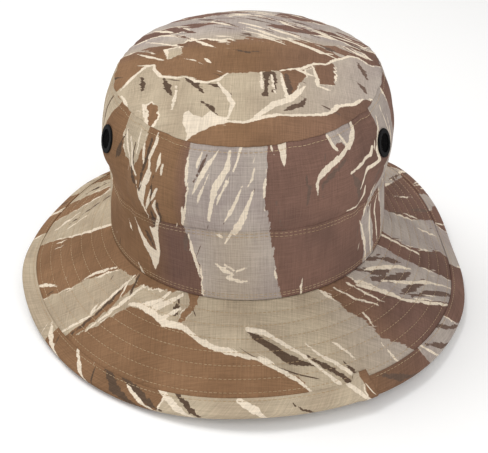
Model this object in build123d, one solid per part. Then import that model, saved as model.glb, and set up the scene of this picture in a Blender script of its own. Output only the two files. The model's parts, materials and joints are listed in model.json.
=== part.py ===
from build123d import *
import os
from math import atan2, ceil, cos, degrees, floor, hypot, pi, radians, sin, sqrt

# A soft brimmed field hat, standing crown up on the front and back of its brim.
# Millimetres. +Z is up, -Y is the front and +X is the wearer's left side seen from the front.
# The origin is on the table, under the middle of the hat's outline. The brim is soft and has taken
# an uneven set: it touches the table in places and lifts between them.
#
# Every ring of the hat is an oval whose half length is its half width plus one fixed step. An angle
# of 0 degrees is the front, 90 degrees is +X. All points at one angle lie in one upright plane, so
# each cloth panel is a loft through flat sections cut at steps of angle.

os.makedirs("parts", exist_ok=True)

# Head opening and crown
base_half_width = 86.0       # outside of the band at the seam with the brim
oval_step = 13.0             # how much longer each oval's half length is than its half width
band_height = 42.0           # lower crown strip, from the brim seam up
band_flare = 0.5             # the band's top is this much wider each side than its foot
bulge_swell = 3.0            # the widest ring of the upper crown, beyond the band's foot
bulge_height = 64.0          # height of that ring over the brim seam
tip_tuck = 8.5               # the ring of the tip panel lies this far inside the band's foot
tip_height = 95.0            # height of that ring's middle over the brim seam
tip_lean = 7.0               # the ring's back is this much higher, and its front this much lower
tip_rise = 12.0              # how far the tip panel domes over its ring

# Brim
brim_slant = 67.0            # from the crown seam to the edge, along the cloth
droops = [37.0, 33.0, 37.5, 20.0, 37.5, 27.0, 28.5, 37.5]    # degrees below level, evenly spaced round
allowance_height = 8.0       # seam allowance of the under ply, turned up inside the band
interlining_setback = 1.5    # the interlining is cut short of the crown seam by this much

# Cloth, tape and the small gap that keeps two layers apart
cloth = 0.6
interlining_cloth = 0.5
sweat_tape = 1.0
seam_tape = 0.5
layer_gap = 0.1

# Edge binding
binding_width = 11.0
binding_join_angle = 28.0    # where the strip's two ends meet
binding_join_gap = 0.2

# Inside tapes
sweatband_height = 30.0
tip_tape_width = 9.0
side_tape_width = 12.0

# Screened vents in the upper crown
vent_angles = {"right_front": -60.0, "right_back": -117.0, "left_front": 60.0, "left_back": 117.0}
vent_height_share = 0.92     # place in the free height between band and tip tape, 0 low to 1 high
vent_flange_radius = 8.0
vent_flange_thickness = 0.9
vent_bore_radius = 5.4
vent_barrel_wall = 0.4
vent_hole_clearance = 0.3    # cloth hole over barrel
vent_washer_radius = 8.0
vent_washer_thickness = 0.6
vent_washer_clearance = 0.1
vent_roll_radius = 7.0       # rolled-over end of the barrel
vent_roll_thickness = 0.4
vent_screen_thickness = 0.4
vent_screen_clearance = 0.05

front = (-90.0, 90.0)        # the front and back halves meet at the side seams
back = (90.0, 270.0)
angle_step = 9.0             # spacing of the sections of each loft, in degrees

# Sizes that follow from those above
band_top_half_width = base_half_width + band_flare
bulge_half_width = base_half_width + bulge_swell
tip_half_width = base_half_width - tip_tuck
brim_stack = 2 * cloth + interlining_cloth + 2 * layer_gap
binding_under = brim_stack + layer_gap + cloth      # lowest face of the binding, below the brim's top
binding_over = layer_gap + cloth                    # highest face of the binding, above the brim's top


def droop_at(angle):
    """Degrees below level at an angle, easing from each listed droop to the next."""
    place = (angle % 360) / (360 / len(droops))
    before = floor(place) % len(droops)
    after = (before + 1) % len(droops)
    share = (1 - cos(pi * (place - floor(place)))) / 2
    return droops[before] + (droops[after] - droops[before]) * share


def edge_reach(angle):
    """How far the binding's outer corner stands out from the crown seam."""
    droop = radians(droop_at(angle))
    return brim_slant * cos(droop) + binding_over * sin(droop)


def edge_drop(angle):
    """How far the binding's lowest corner lies below the crown seam."""
    droop = radians(droop_at(angle))
    return brim_slant * sin(droop) + binding_under * cos(droop)


# The lowest part of the edge stands on the table, and the outline is centred on the origin.
base_z = max(edge_drop(angle) for angle in range(360))
edge_x = [(base_half_width + edge_reach(angle)) * sin(radians(angle)) for angle in range(360)]
edge_y = [
    -(base_half_width + oval_step + edge_reach(angle)) * cos(radians(angle)) for angle in range(360)
]
centre_x = -(max(edge_x) + min(edge_x)) / 2
centre_y = -(max(edge_y) + min(edge_y)) / 2
band_top_z = base_z + band_height
side_foot_z = band_top_z + layer_gap


# Places on the ovals


def at(angle, half_width, z):
    """The point of the oval of this half width and height at an angle in degrees."""
    turn = radians(angle)
    return Vector(
        centre_x + half_width * sin(turn),
        centre_y - (half_width + oval_step) * cos(turn),
        z,
    )


def steps(start, end):
    """Start, end and the whole angle steps between, but none crowding start or end.

    Pieces that lie on each other share these angles, so their lofts run alike.
    """
    first = ceil(start / angle_step + 0.25)
    last = floor(end / angle_step - 0.25)
    between = [i * angle_step for i in range(first, last + 1)]
    return [start] + between + [end]


def polygon_loft(start, end, profile):
    """A solid through polygons: profile(angle) gives the corners as points."""
    return Solid.make_loft([Wire.make_polygon(profile(angle)) for angle in steps(start, end)])


# Brim


def brim_point(angle, along, above):
    """A point this far out along the brim from the crown seam, and this far above its top face."""
    droop = radians(droop_at(angle))
    out = base_half_width + along * cos(droop) + above * sin(droop)
    return at(angle, out, base_z - along * sin(droop) + above * cos(droop))


def brim_z_at(angle, half_width, above):
    """Height of the layer that lies this far above the brim's top face, at a half width."""
    droop = radians(droop_at(angle))
    out = half_width - base_half_width - above * sin(droop)
    return base_z - out * sin(droop) / cos(droop) + above * cos(droop)


ply_end = brim_slant - cloth - layer_gap            # the plies stop inside the binding's fold
interlining_top = -cloth - layer_gap
under_top = interlining_top - interlining_cloth - layer_gap
under_bottom = under_top - cloth
allowance_outer = base_half_width - cloth - layer_gap
allowance_inner = allowance_outer - cloth


def brim_layer(start, end, inner, top, thickness):
    """One flat layer of the brim between two angles."""

    def profile(angle):
        return [
            brim_point(angle, inner, top),
            brim_point(angle, ply_end, top),
            brim_point(angle, ply_end, top - thickness),
            brim_point(angle, inner, top - thickness),
        ]

    return polygon_loft(start, end, profile)


def brim_top(start, end):
    """The top ply, from the crown seam to the binding's fold."""
    return brim_layer(start, end, 0, 0, cloth)


def brim_interlining(start, end):
    """The stiffening layer between the plies."""
    return brim_layer(start, end, interlining_setback, interlining_top, interlining_cloth)


def brim_under(start, end):
    """The under ply, with its seam allowance standing up inside the crown band."""

    def profile(angle):
        return [
            at(angle, allowance_inner, base_z + allowance_height),
            at(angle, allowance_outer, base_z + allowance_height),
            at(angle, allowance_outer, brim_z_at(angle, allowance_outer, under_top)),
            brim_point(angle, ply_end, under_top),
            brim_point(angle, ply_end, under_bottom),
            at(angle, allowance_inner, brim_z_at(angle, allowance_inner, under_bottom)),
        ]

    return polygon_loft(start, end, profile)


def brim_binding():
    """The strip folded over the brim's edge, with its ends meeting at the join."""
    inner = brim_slant - binding_width

    def profile(angle):
        corners = [
            (inner, layer_gap),
            (inner, binding_over),
            (brim_slant, binding_over),
            (brim_slant, -binding_under),
            (inner, -binding_under),
            (inner, -binding_under + cloth),
            (brim_slant - cloth, -binding_under + cloth),
            (brim_slant - cloth, layer_gap),
        ]
        return [brim_point(angle, along, above) for along, above in corners]

    turn = radians(binding_join_angle)
    radial = Vector(sin(turn), -cos(turn), 0)
    across = Vector(cos(turn), sin(turn), 0)
    middle = brim_point(binding_join_angle, brim_slant - binding_width / 2, 0)
    join = Plane(origin=middle, x_dir=radial, z_dir=across)
    slot = join * Box(3 * binding_width, 3 * binding_width, binding_join_gap)
    return polygon_loft(*front, profile) + polygon_loft(*back, profile) - slot


# Crown


def crown_band(start, end):
    """The straight lower strip of the crown."""

    def profile(angle):
        return [
            at(angle, base_half_width, base_z + layer_gap),
            at(angle, band_top_half_width, band_top_z),
            at(angle, band_top_half_width - cloth, band_top_z),
            at(angle, base_half_width - cloth, base_z + layer_gap),
        ]

    return polygon_loft(start, end, profile)


def tip_z(angle):
    """Height of the top of the upper crown, on the leaning plane of the tip ring."""
    return base_z + tip_height - tip_lean * cos(radians(angle))


def side_arc(angle):
    """Middle half width, middle height and radius of the arc of the upper crown at an angle."""
    x1, z1 = band_top_half_width, side_foot_z
    x2, z2 = bulge_half_width, base_z + bulge_height
    x3, z3 = tip_half_width, tip_z(angle)
    k1 = (x2 * x2 - x1 * x1 + z2 * z2 - z1 * z1) / 2
    k2 = (x3 * x3 - x2 * x2 + z3 * z3 - z2 * z2) / 2
    cross = (x2 - x1) * (z3 - z2) - (x3 - x2) * (z2 - z1)
    x_mid = (k1 * (z3 - z2) - k2 * (z2 - z1)) / cross
    z_mid = (k2 * (x2 - x1) - k1 * (x3 - x2)) / cross
    return x_mid, z_mid, hypot(x1 - x_mid, z1 - z_mid)


def side_half_width(angle, z):
    """Outside half width of the upper crown at an angle and a height."""
    x_mid, z_mid, radius = side_arc(angle)
    return x_mid + sqrt(radius ** 2 - (z - z_mid) ** 2)


def upper_layer(start, end, inset, thickness, low, high_below_tip):
    """A layer that follows the upper crown, inset inwards, from a height to below the tip ring."""

    def profile(angle):
        high = tip_z(angle) - high_below_tip
        middle = (low + high) / 2

        def point(z, depth):
            return at(angle, side_half_width(angle, z) - depth, z)

        outer = [point(z, inset) for z in (low, middle, high)]
        inner = [point(z, inset + thickness) for z in (high, middle, low)]
        return Wire([
            Edge.make_three_point_arc(*outer),
            Edge.make_line(outer[2], inner[0]),
            Edge.make_three_point_arc(*inner),
            Edge.make_line(inner[2], outer[0]),
        ])

    return Solid.make_loft([profile(angle) for angle in steps(start, end)])


def vent_z(angle):
    """Height of a vent's centre, with its washer between the band's seam and the tip tape."""
    lowest = side_foot_z + vent_washer_radius
    highest = tip_z(angle) - layer_gap - tip_tape_width - vent_washer_radius
    return lowest + vent_height_share * (highest - lowest)


def vent_plane(angle):
    """Plane on the outside of the upper crown at a vent, with its normal pointing out."""
    z = vent_z(angle)
    x_mid, z_mid, radius = side_arc(angle)
    half_width = side_half_width(angle, z)
    turn = radians(angle)
    along = Vector(half_width * cos(turn), (half_width + oval_step) * sin(turn), 0).normalized()
    level = Vector(along.Y, -along.X, 0)
    outward = level * (half_width - x_mid) + Vector(0, 0, z - z_mid)
    return Plane(origin=at(angle, half_width, z), x_dir=along, z_dir=outward)


def vent_hole(angle):
    """The punched hole for one vent."""
    radius = vent_bore_radius + vent_barrel_wall + vent_hole_clearance
    return vent_plane(angle) * Cylinder(radius, 2 * vent_flange_radius)


def crown_side(start, end):
    """One panel of the upper crown, with the vent holes that fall between its side seams."""
    panel = upper_layer(start, end, 0, cloth, side_foot_z, 0)
    for angle in vent_angles.values():
        if start < angle < end or start < angle + 360 < end:
            panel = panel - vent_hole(angle)
    return panel


def crown_tip():
    """The domed oval top panel, leaning with the tip ring."""
    radius = (tip_half_width ** 2 + tip_rise ** 2) / (2 * tip_rise)
    centre_z = tip_rise - radius
    inner_radius = radius - cloth
    inner_rim = sqrt(inner_radius ** 2 - centre_z ** 2)
    half_turn = radians(45) * tip_rise / tip_half_width
    outer_rim_point = Vector(tip_half_width, 0, 0)
    outer_middle = Vector(radius * sin(half_turn), 0, centre_z + radius * cos(half_turn))
    outer_top = Vector(0, 0, tip_rise)
    inner_top = Vector(0, 0, tip_rise - cloth)
    inner_middle = Vector(inner_radius * sin(half_turn), 0, centre_z + inner_radius * cos(half_turn))
    inner_rim_point = Vector(inner_rim, 0, 0)
    outline = Wire([
        Edge.make_three_point_arc(outer_rim_point, outer_middle, outer_top),
        Edge.make_line(outer_top, inner_top),
        Edge.make_three_point_arc(inner_top, inner_middle, inner_rim_point),
        Edge.make_line(inner_rim_point, outer_rim_point),
    ])
    dome = revolve(Face(outline), Axis.Z, 360)
    half_length = hypot(tip_half_width + oval_step, tip_lean)
    stretched = scale(dome, by=(1, half_length / tip_half_width, 1))
    lean = degrees(atan2(tip_lean, tip_half_width + oval_step))
    return Pos(centre_x, centre_y, base_z + tip_height + layer_gap) * Rot(lean, 0, 0) * stretched


# Tapes inside the crown


def sweatband():
    """The absorbent band that covers the brim seam inside."""
    outer = allowance_inner - layer_gap
    inner = outer - sweat_tape
    ring = Ellipse(outer, outer + oval_step) - Ellipse(inner, inner + oval_step)
    return Pos(centre_x, centre_y, base_z + layer_gap) * extrude(ring, sweatband_height)


def tip_seam_tape(start, end):
    """Tape over the seam allowance of the tip seam, inside."""

    def profile(angle):
        high = tip_z(angle) - layer_gap
        low = high - tip_tape_width
        high_half = side_half_width(angle, high) - cloth - layer_gap
        low_half = side_half_width(angle, low) - cloth - layer_gap
        return [
            at(angle, high_half, high),
            at(angle, low_half, low),
            at(angle, low_half - seam_tape, low),
            at(angle, high_half - seam_tape, high),
        ]

    return polygon_loft(start, end, profile)


def side_seam_tape(angle):
    """Tape over one side seam of the upper crown, inside, under the tip tape."""
    half_turn = degrees(side_tape_width / 2 / (bulge_half_width + oval_step))
    below_tip = tip_tape_width + 2 * layer_gap
    inset = cloth + layer_gap
    start = angle - half_turn
    return upper_layer(start, angle + half_turn, inset, seam_tape, side_foot_z, below_tip)


# Vents


def vent_depth(angle):
    """How far behind its outside the curved crown reaches at the washer's rim, with its gap."""
    turn = radians(angle)
    half_width = side_half_width(angle, vent_z(angle))
    half_length = half_width + oval_step
    across = (half_width * cos(turn)) ** 2 + (half_length * sin(turn)) ** 2
    plan_radius = across ** 1.5 / (half_width * half_length)
    tightest = min(plan_radius, side_arc(angle)[2])
    sag = tightest - sqrt(tightest ** 2 - vent_washer_radius ** 2)
    return cloth + sag + layer_gap


def disc(outer, inner, low, thickness):
    """A flat ring, or a plain disc where inner is 0, lying from low upwards."""
    ring = Circle(outer) - Circle(inner) if inner else Circle(outer)
    return Pos(0, 0, low) * extrude(ring, thickness)


def vent_eyelet(angle):
    """Flange outside, barrel through the cloth and rolled end inside, as one pressed piece."""
    barrel_radius = vent_bore_radius + vent_barrel_wall
    washer_back = -vent_depth(angle) - vent_washer_thickness
    roll_low = washer_back - layer_gap - vent_roll_thickness
    flange_top = layer_gap + vent_flange_thickness
    flange = disc(vent_flange_radius, vent_bore_radius, layer_gap, vent_flange_thickness)
    rim = flange.edges().filter_by(GeomType.CIRCLE).sort_by(Axis.Z)[-2:].sort_by(SortBy.RADIUS)[-1]
    flange = fillet(rim, vent_flange_thickness / 2)
    barrel = disc(barrel_radius, vent_bore_radius, roll_low, flange_top - roll_low)
    roll = disc(vent_roll_radius, vent_bore_radius, roll_low, vent_roll_thickness)
    return vent_plane(angle) * (flange + barrel + roll)


def vent_screen(angle):
    """The disc of mesh held in the mouth of the barrel."""
    radius = vent_bore_radius - vent_screen_clearance
    return vent_plane(angle) * disc(radius, 0, layer_gap, vent_screen_thickness)


def vent_washer(angle):
    """The ring behind the cloth that the barrel is rolled over."""
    hole = vent_bore_radius + vent_barrel_wall + vent_washer_clearance
    low = -vent_depth(angle) - vent_washer_thickness
    return vent_plane(angle) * disc(vent_washer_radius, hole, low, vent_washer_thickness)


# All pieces by name
pieces = {
    "crown_tip": crown_tip(),
    "crown_side_front": crown_side(*front),
    "crown_side_back": crown_side(*back),
    "crown_band_front": crown_band(*front),
    "crown_band_back": crown_band(*back),
    "brim_top_front": brim_top(*front),
    "brim_top_back": brim_top(*back),
    "brim_interlining_front": brim_interlining(*front),
    "brim_interlining_back": brim_interlining(*back),
    "brim_under_front": brim_under(*front),
    "brim_under_back": brim_under(*back),
    "brim_binding": brim_binding(),
    "sweatband": sweatband(),
    "tip_seam_tape": tip_seam_tape(*front) + tip_seam_tape(*back),
    "side_seam_tape_left": side_seam_tape(90.0),
    "side_seam_tape_right": side_seam_tape(-90.0),
}
for place, angle in vent_angles.items():
    pieces[f"vent_eyelet_{place}"] = vent_eyelet(angle)
    pieces[f"vent_screen_{place}"] = vent_screen(angle)
    pieces[f"vent_washer_{place}"] = vent_washer(angle)

for name, piece in pieces.items():
    export_step(piece, f"parts/{name}.step")
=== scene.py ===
import json
from math import cos, pi, radians, sin

import bpy
import numpy as np
from mathutils import Matrix, Vector


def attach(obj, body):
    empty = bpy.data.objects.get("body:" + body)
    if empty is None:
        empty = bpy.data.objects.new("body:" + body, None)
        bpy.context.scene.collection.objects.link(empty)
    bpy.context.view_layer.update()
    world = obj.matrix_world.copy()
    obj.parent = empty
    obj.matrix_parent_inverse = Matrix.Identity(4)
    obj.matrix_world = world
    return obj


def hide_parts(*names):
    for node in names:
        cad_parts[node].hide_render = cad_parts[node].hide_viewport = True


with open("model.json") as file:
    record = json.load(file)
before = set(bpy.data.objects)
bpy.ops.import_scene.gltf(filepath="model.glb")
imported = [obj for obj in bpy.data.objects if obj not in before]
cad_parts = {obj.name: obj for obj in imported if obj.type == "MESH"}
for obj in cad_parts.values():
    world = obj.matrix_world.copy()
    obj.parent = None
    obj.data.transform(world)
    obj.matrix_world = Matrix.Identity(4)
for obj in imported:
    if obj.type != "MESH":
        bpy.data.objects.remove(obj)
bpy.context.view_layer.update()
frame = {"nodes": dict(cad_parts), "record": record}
scene = bpy.context.scene
scene.view_settings.view_transform = "Standard"

# ---------------------------------------------------------------------------------------------
# Camera, looking down on the front of the hat from a little over half a metre away, and aimed at
# about the foot of the crown.

camera_aim = Vector((0.0008, -0.0043, 0.0332))
camera_distance = 0.5544
camera_height_angle = radians(30.86)
camera_side_angle = radians(1.94)
level = cos(camera_height_angle)
camera_back = Vector((
    sin(camera_side_angle) * level,
    -cos(camera_side_angle) * level,
    sin(camera_height_angle),
))
camera_right = Vector((0, 0, 1)).cross(camera_back).normalized()
camera_up = camera_back.cross(camera_right)
camera = bpy.data.objects.new("camera", bpy.data.cameras.new("camera"))
camera.data.lens = 63.6
camera.data.sensor_width = 36
camera.data.clip_start = 0.01
camera.matrix_world = Matrix.Translation(camera_aim + camera_back * camera_distance) @ Matrix(
    (camera_right, camera_up, camera_back)
).transposed().to_4x4()
scene.collection.objects.link(camera)
scene.camera = camera

# ---------------------------------------------------------------------------------------------
# Brim, top ply. Two half rings of printed cotton, seamed at the sides and sewn to the crown's foot.
# The cloth has taken an uneven set, and is quilted through to the layers below by rows of stitches.

middle_x, middle_y, seam_z = frame["record"]["mounts"][0]["pos_m"]
cloth = 0.0006
base_half_width = 0.0860
oval_step = 0.0130
brim_slant = 0.0670
brim_droops = np.array([37.0, 33.0, 37.5, 20.0, 37.5, 27.0, 28.5, 37.5])
front_lift = 0.0025         # how far the edge is curled up near the front
front_tuck = 0.045          # share of the brim's width that the curl takes there
ply_end = brim_slant - 0.0014
layer_gap = 0.0001
quilt_first = 0.0075
quilt_step = 0.0076
quilt_rows = 7
quilt_swell = 0.00042
halves = {"front": (-90.0, 90.0), "back": (90.0, 270.0)}


def oval(angle, half_width, z):
    """Points on the hat's ovals: angle 0 is the front, in degrees."""
    turn = np.radians(angle)
    x = middle_x + half_width * np.sin(turn)
    y = middle_y - (half_width + oval_step) * np.cos(turn)
    return np.stack(np.broadcast_arrays(x, y, z), -1)


def brim_droop(angle):
    """How far below level the brim hangs, in radians, eased between droops 45 degrees apart."""
    place = np.mod(angle, 360) / (360 / len(brim_droops))
    before = np.floor(place).astype(int) % len(brim_droops)
    after = (before + 1) % len(brim_droops)
    share = (1 - np.cos(pi * (place - np.floor(place)))) / 2
    return np.radians(brim_droops[before] * (1 - share) + brim_droops[after] * share)


def from_front(angle):
    """The same angle between -180 and 180 degrees, with 0 at the front."""
    return np.mod(angle + 180, 360) - 180


def near_front(angle):
    """1 where the brim's edge is curled up and in, a little left of the front, fading to 0."""
    return np.exp(-((from_front(angle) - 8) / 24) ** 2)


def brim_wave(angle, along):
    """Soft waves in the brim, growing towards its edge."""
    turn = np.radians(angle)
    wave = np.sin(5 * turn + 0.7) + 0.6 * np.sin(9 * turn + 2.0) + 0.35 * np.sin(17 * turn)
    return (0.0006 * (wave + 1.9) + front_lift * near_front(angle)) * (along / brim_slant) ** 2


def quilting(angle, along):
    """Swell of the cloth between the stitch rows, with small puckers beside each row."""
    phase = (along - quilt_first) / quilt_step
    last = quilt_first + quilt_step * (quilt_rows - 1)
    inside = np.clip(along / quilt_first, 0, 1) * np.clip((last + 0.0028 - along) / 0.0025, 0, 1)
    near_row = np.abs(np.cos(pi * phase)) ** 6
    pucker = np.sin(np.radians(angle) * 150 + 4 * np.sin(along * 700)) * near_row * 0.00012
    return inside * (quilt_swell * (1 - near_row) + pucker)


def brim_place(angle, along, above):
    """A point of the brim this far out from the crown seam and above its top face."""
    droop = brim_droop(angle)
    above = above + brim_wave(angle, along)
    along = along * (1 - front_tuck * near_front(angle))
    out = base_half_width + along * np.cos(droop) + above * np.sin(droop)
    z = seam_z - along * np.sin(droop) + above * np.cos(droop)
    return oval(angle, out, z)


def made_of_squares(name, points, faces, material_of_face=None):
    """An object from points and four-cornered faces, smoothly shaded."""
    mesh = bpy.data.meshes.new(name)
    mesh.vertices.add(len(points))
    mesh.vertices.foreach_set("co", points.astype(np.float32).ravel())
    mesh.loops.add(faces.size)
    mesh.loops.foreach_set("vertex_index", faces.astype(np.int32).ravel())
    mesh.polygons.add(len(faces))
    mesh.polygons.foreach_set("loop_start", np.arange(0, faces.size, 4, dtype=np.int32))
    mesh.polygons.foreach_set("loop_total", np.full(len(faces), 4, np.int32))
    mesh.update(calc_edges=True)
    mesh.polygons.foreach_set("use_smooth", np.ones(len(faces), bool))
    if material_of_face is not None:
        mesh.polygons.foreach_set("material_index", material_of_face)
    piece = bpy.data.objects.new(name, mesh)
    scene.collection.objects.link(piece)
    return piece


def cloth_shell(name, outer, inner, kept=None, ring=False):
    """A closed cloth from two grids of points, its outer and inner face, edged all round.

    kept says which squares of the grid are cloth; the rest is a hole with hemmed edges. The
    second result says where in the grid each of the cloth's points lies.
    """
    rows, columns = outer.shape[:2]
    number = np.arange(rows * columns).reshape(rows, columns)
    if ring:
        number = np.concatenate([number, number[:1]])
    corners = [number[:-1, :-1], number[1:, :-1], number[1:, 1:], number[:-1, 1:]]
    squares = np.stack(corners, -1)
    kept = np.ones(squares.shape[:2], bool) if kept is None else kept
    squares = squares[kept]
    sides = np.concatenate([squares[:, [i, (i + 1) % 4]] for i in range(4)])
    both_ways = np.concatenate([sides, sides[:, ::-1]])
    key = both_ways[:, 0].astype(np.int64) * rows * columns + both_ways[:, 1]
    found, count = np.unique(key[: len(sides)], return_counts=True)
    alone = sides[~np.isin(key[len(sides):], found)]
    under = rows * columns
    hems = np.stack([alone[:, 1], alone[:, 0], alone[:, 0] + under, alone[:, 1] + under], -1)
    faces = np.concatenate([squares, squares[:, ::-1] + under, hems])
    points = np.concatenate([outer.reshape(-1, 3), inner.reshape(-1, 3)])
    used, faces = np.unique(faces, return_inverse=True)
    faces = faces.reshape(-1, 4)
    back = np.zeros(len(faces), np.int32)
    back[len(squares): 2 * len(squares)] = 1
    return made_of_squares(name + "_cloth", points[used], faces, back), used % under


far_outside = -99.0         # depth, in millimetres, of a place that no stroke comes near
plain_ground = -30.0        # depth into brown of cloth away from the stripes
deepest = 40.0              # depths past this make no difference


def streak(points, at):
    """How far inside a tapered stroke each place is, in millimetres, below 0 outside."""
    best = np.full(len(at), far_outside)
    for (x1, y1, w1), (x2, y2, w2) in zip(points[:-1], points[1:]):
        run = np.array([x2 - x1, y2 - y1])
        share = np.clip(((at - (x1, y1)) @ run) / (run @ run), 0, 1)
        gap = np.hypot(*(at - (x1, y1) - share[:, None] * run).T)
        best = np.maximum(best, w1 + (w2 - w1) * share - gap)
    return best


def patch(points, at):
    """How far inside an outline each place is, in millimetres, below 0 outside."""
    gap = np.full(len(at), -far_outside)
    inside = np.zeros(len(at), bool)
    for (x1, y1), (x2, y2) in zip(points, points[1:] + points[:1]):
        run = np.array([x2 - x1, y2 - y1])
        share = np.clip(((at - (x1, y1)) @ run) / (run @ run), 0, 1)
        gap = np.minimum(gap, np.hypot(*(at - (x1, y1) - share[:, None] * run).T))
        crosses = (y1 > at[:, 1]) != (y2 > at[:, 1])
        slope = (x2 - x1) / (y2 - y1) if y2 != y1 else 0
        inside ^= crosses & (at[:, 0] < x1 + (at[:, 1] - y1) * slope)
    return np.where(inside, gap, -gap)


def stamp(layout, at, bend=lambda point: point):
    """The print's fields at each place: depth into brown, cream and dark, in millimetres.

    A layout's points are (x, y) for an outline and (x, y, half width) along a stroke, and bend
    takes them to the chart that the places are on.
    """
    brown = np.full(len(at), plain_ground)
    cream = np.full(len(at), far_outside)
    dark = np.full(len(at), far_outside)
    for colour, points in layout:
        points = [bend(point) for point in points]
        field = patch(points, at) if len(points[0]) == 2 else streak(points, at)
        if colour == "brown":
            brown = np.maximum(brown, field)
        elif colour == "light":
            brown = np.minimum(brown, -field)
        elif colour == "cream":
            cream = np.maximum(cream, field)
        else:
            dark = np.maximum(dark, field)
    return {"brown": brown, "cream": cream, "dark": dark}


def store_run(piece, source, name, first, second):
    """Stores on a cloth's points how far along two of its ways they are, from millimetres."""
    run = np.stack([first / 1000, second / 1000, 0 * first], -1)
    layer = piece.data.attributes.new(name, "FLOAT_VECTOR", "POINT")
    layer.data.foreach_set("vector", run[source].astype(np.float32).ravel())


def print_on(piece, source, fields, weave, flow, cool):
    """Prints a cloth: the fields of its stripes, the run of its threads and its stripes, and how far it is
    painted a cooler grey as shade.
    """
    for field, value in dict(fields, cool=cool).items():
        layer = piece.data.attributes.new(field, "FLOAT", "POINT")
        depth = np.clip(value, -deepest, deepest)
        layer.data.foreach_set("value", depth[source].astype(np.float32))
    store_run(piece, source, "weave", *weave)
    store_run(piece, source, "flow", *flow)
    piece.data.materials.append(print_face)
    piece.data.materials.append(print_back)


def wild_stripes(seed, box, count, lean):
    """Stripes at random for a stretch of cloth: box is its corners in millimetres."""
    draw = np.random.default_rng(seed)
    x0, y0, x1, y1 = box
    layout = []
    for i in range(count):
        x = x0 + (x1 - x0) * (i + draw.uniform(0.1, 0.9)) / count
        y = draw.uniform(y0 - 10, y0 + 0.4 * (y1 - y0))
        points, width = [], draw.uniform(5, 11)
        for share in (0, 0.3, 0.55, 0.8, 1.0):
            rise = share * (y1 - y0) * draw.uniform(0.8, 1.1)
            swell = width * (0.5 + 1.2 * sin(pi * min(share + 0.15, 1)))
            points.append((x + lean * rise + draw.uniform(-4, 4), y + rise, max(swell, 0.5)))
        layout.append(("brown", points))
    for i in range(count * 7):
        x, y = draw.uniform(x0, x1), draw.uniform(y0, y1)
        length, width = draw.uniform(6, 20), draw.uniform(0.5, 1.5)
        tilt = lean + draw.uniform(-0.25, 0.25)
        points = [(x, y, 0.2), (x + tilt * length / 2, y + length / 2, width)]
        points.append((x + tilt * length + draw.uniform(-2, 2), y + length, 0.2))
        layout.append((("cream", "dark", "cream")[i % 3], points))
    return layout


def linear(red, green, blue):
    """A colour from its 0 to 255 sRGB values, made linear."""
    return tuple(((c / 255 + 0.055) / 1.055) ** 2.4 for c in (red, green, blue)) + (1.0,)


class Finish:
    """A material under construction: makes nodes and joins them in the order of the text."""

    shine = 0.12

    def __init__(self, name, roughness, sheen=0.0):
        self.material = bpy.data.materials.new(name)
        self.material.use_nodes = True
        self.tree = self.material.node_tree
        self.shader = self.tree.nodes["Principled BSDF"]
        self.shader.inputs["Roughness"].default_value = roughness
        self.shader.inputs["Specular IOR Level"].default_value = self.shine
        self.shader.inputs["Sheen Weight"].default_value = sheen

    def put(self, socket, value):
        if hasattr(value, "is_output"):
            self.tree.links.new(value, socket)
        else:
            socket.default_value = value

    def node(self, kind, output=0, settings=(), **inputs):
        """One output of a new node; an input is given by its name, or by i and its number."""
        made = self.tree.nodes.new(kind)
        for name, value in settings:
            setattr(made, name, value)
        for name, value in inputs.items():
            key = int(name[1:]) if name[1:].isdigit() else name.replace("_", " ")
            self.put(made.inputs[key], value)
        return made.outputs[output]

    def field(self, name, output="Fac"):
        """What is stored on the cloth under a name."""
        return self.node("ShaderNodeAttribute", output, [("attribute_name", name)])

    def math(self, operation, first, second=0.0):
        return self.node("ShaderNodeMath", 0, [("operation", operation)], i0=first, i1=second)

    def scaled(self, value, factor, added=0.0):
        """The value times a factor, with something added."""
        made = self.math("MULTIPLY", value, factor)
        return self.math("ADD", made, added) if added else made

    def swing(self, noise, reach, middle=0.5):
        """A noise moved to swing about 0, by a reach from its lowest to its highest."""
        return self.math("MULTIPLY", self.math("SUBTRACT", noise, middle), reach)

    def stretch(self, vector, scale, offset=(0, 0, 0)):
        return self.node("ShaderNodeMapping", 0, i0=vector, i1=offset, i3=scale)

    def noise(self, vector, scale, detail=2.0, rough=0.5):
        return self.node(
            "ShaderNodeTexNoise", "Fac", Vector=vector, Scale=scale, Detail=detail, Roughness=rough
        )

    def ramp(self, value, low, high):
        """0 below low, 1 above high."""
        return self.node("ShaderNodeMapRange", 0, i0=value, i1=low, i2=high)

    def threads(self, weave, way, scale, distortion):
        """Ridges of the threads that lie side by side along X or Y of the weave."""
        return self.node(
            "ShaderNodeTexWave", "Fac", [("bands_direction", way)], Vector=weave, Scale=scale,
            Distortion=distortion, Detail=1.0,
        )

    def slubs(self, weave, length, width):
        """Thick places in the threads of both ways, from noise stretched along each."""
        along = self.noise(self.stretch(weave, (length, width, 1)), 1.0, 3.0, 0.6)
        across = self.noise(self.stretch(weave, (width, length, 1)), 1.0, 3.0, 0.6)
        return self.math("ADD", along, across)

    def mix(self, share, first, second, blend="MIX"):
        made = self.tree.nodes.new("ShaderNodeMix")
        made.data_type = "RGBA"
        made.blend_type = blend
        self.put(made.inputs[0], share)
        self.put(made.inputs[6], first)
        self.put(made.inputs[7], second)
        return made.outputs[2]

    def shade(self, colour, amount):
        """The colour made lighter or darker by a number near 1."""
        grey = self.node("ShaderNodeCombineColor", 0, i0=amount, i1=amount, i2=amount)
        return self.mix(1.0, colour, grey, "MULTIPLY")

    def done(self, colour, height=None, depth=0.0):
        """The material with its colour, and relief of a depth in metres if it has a height."""
        self.put(self.shader.inputs["Base Color"], colour)
        if height is not None:
            bump = self.node("ShaderNodeBump", 0, Strength=1.0, Distance=depth, Height=height)
            self.put(self.shader.inputs["Normal"], bump)
        return self.material


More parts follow.
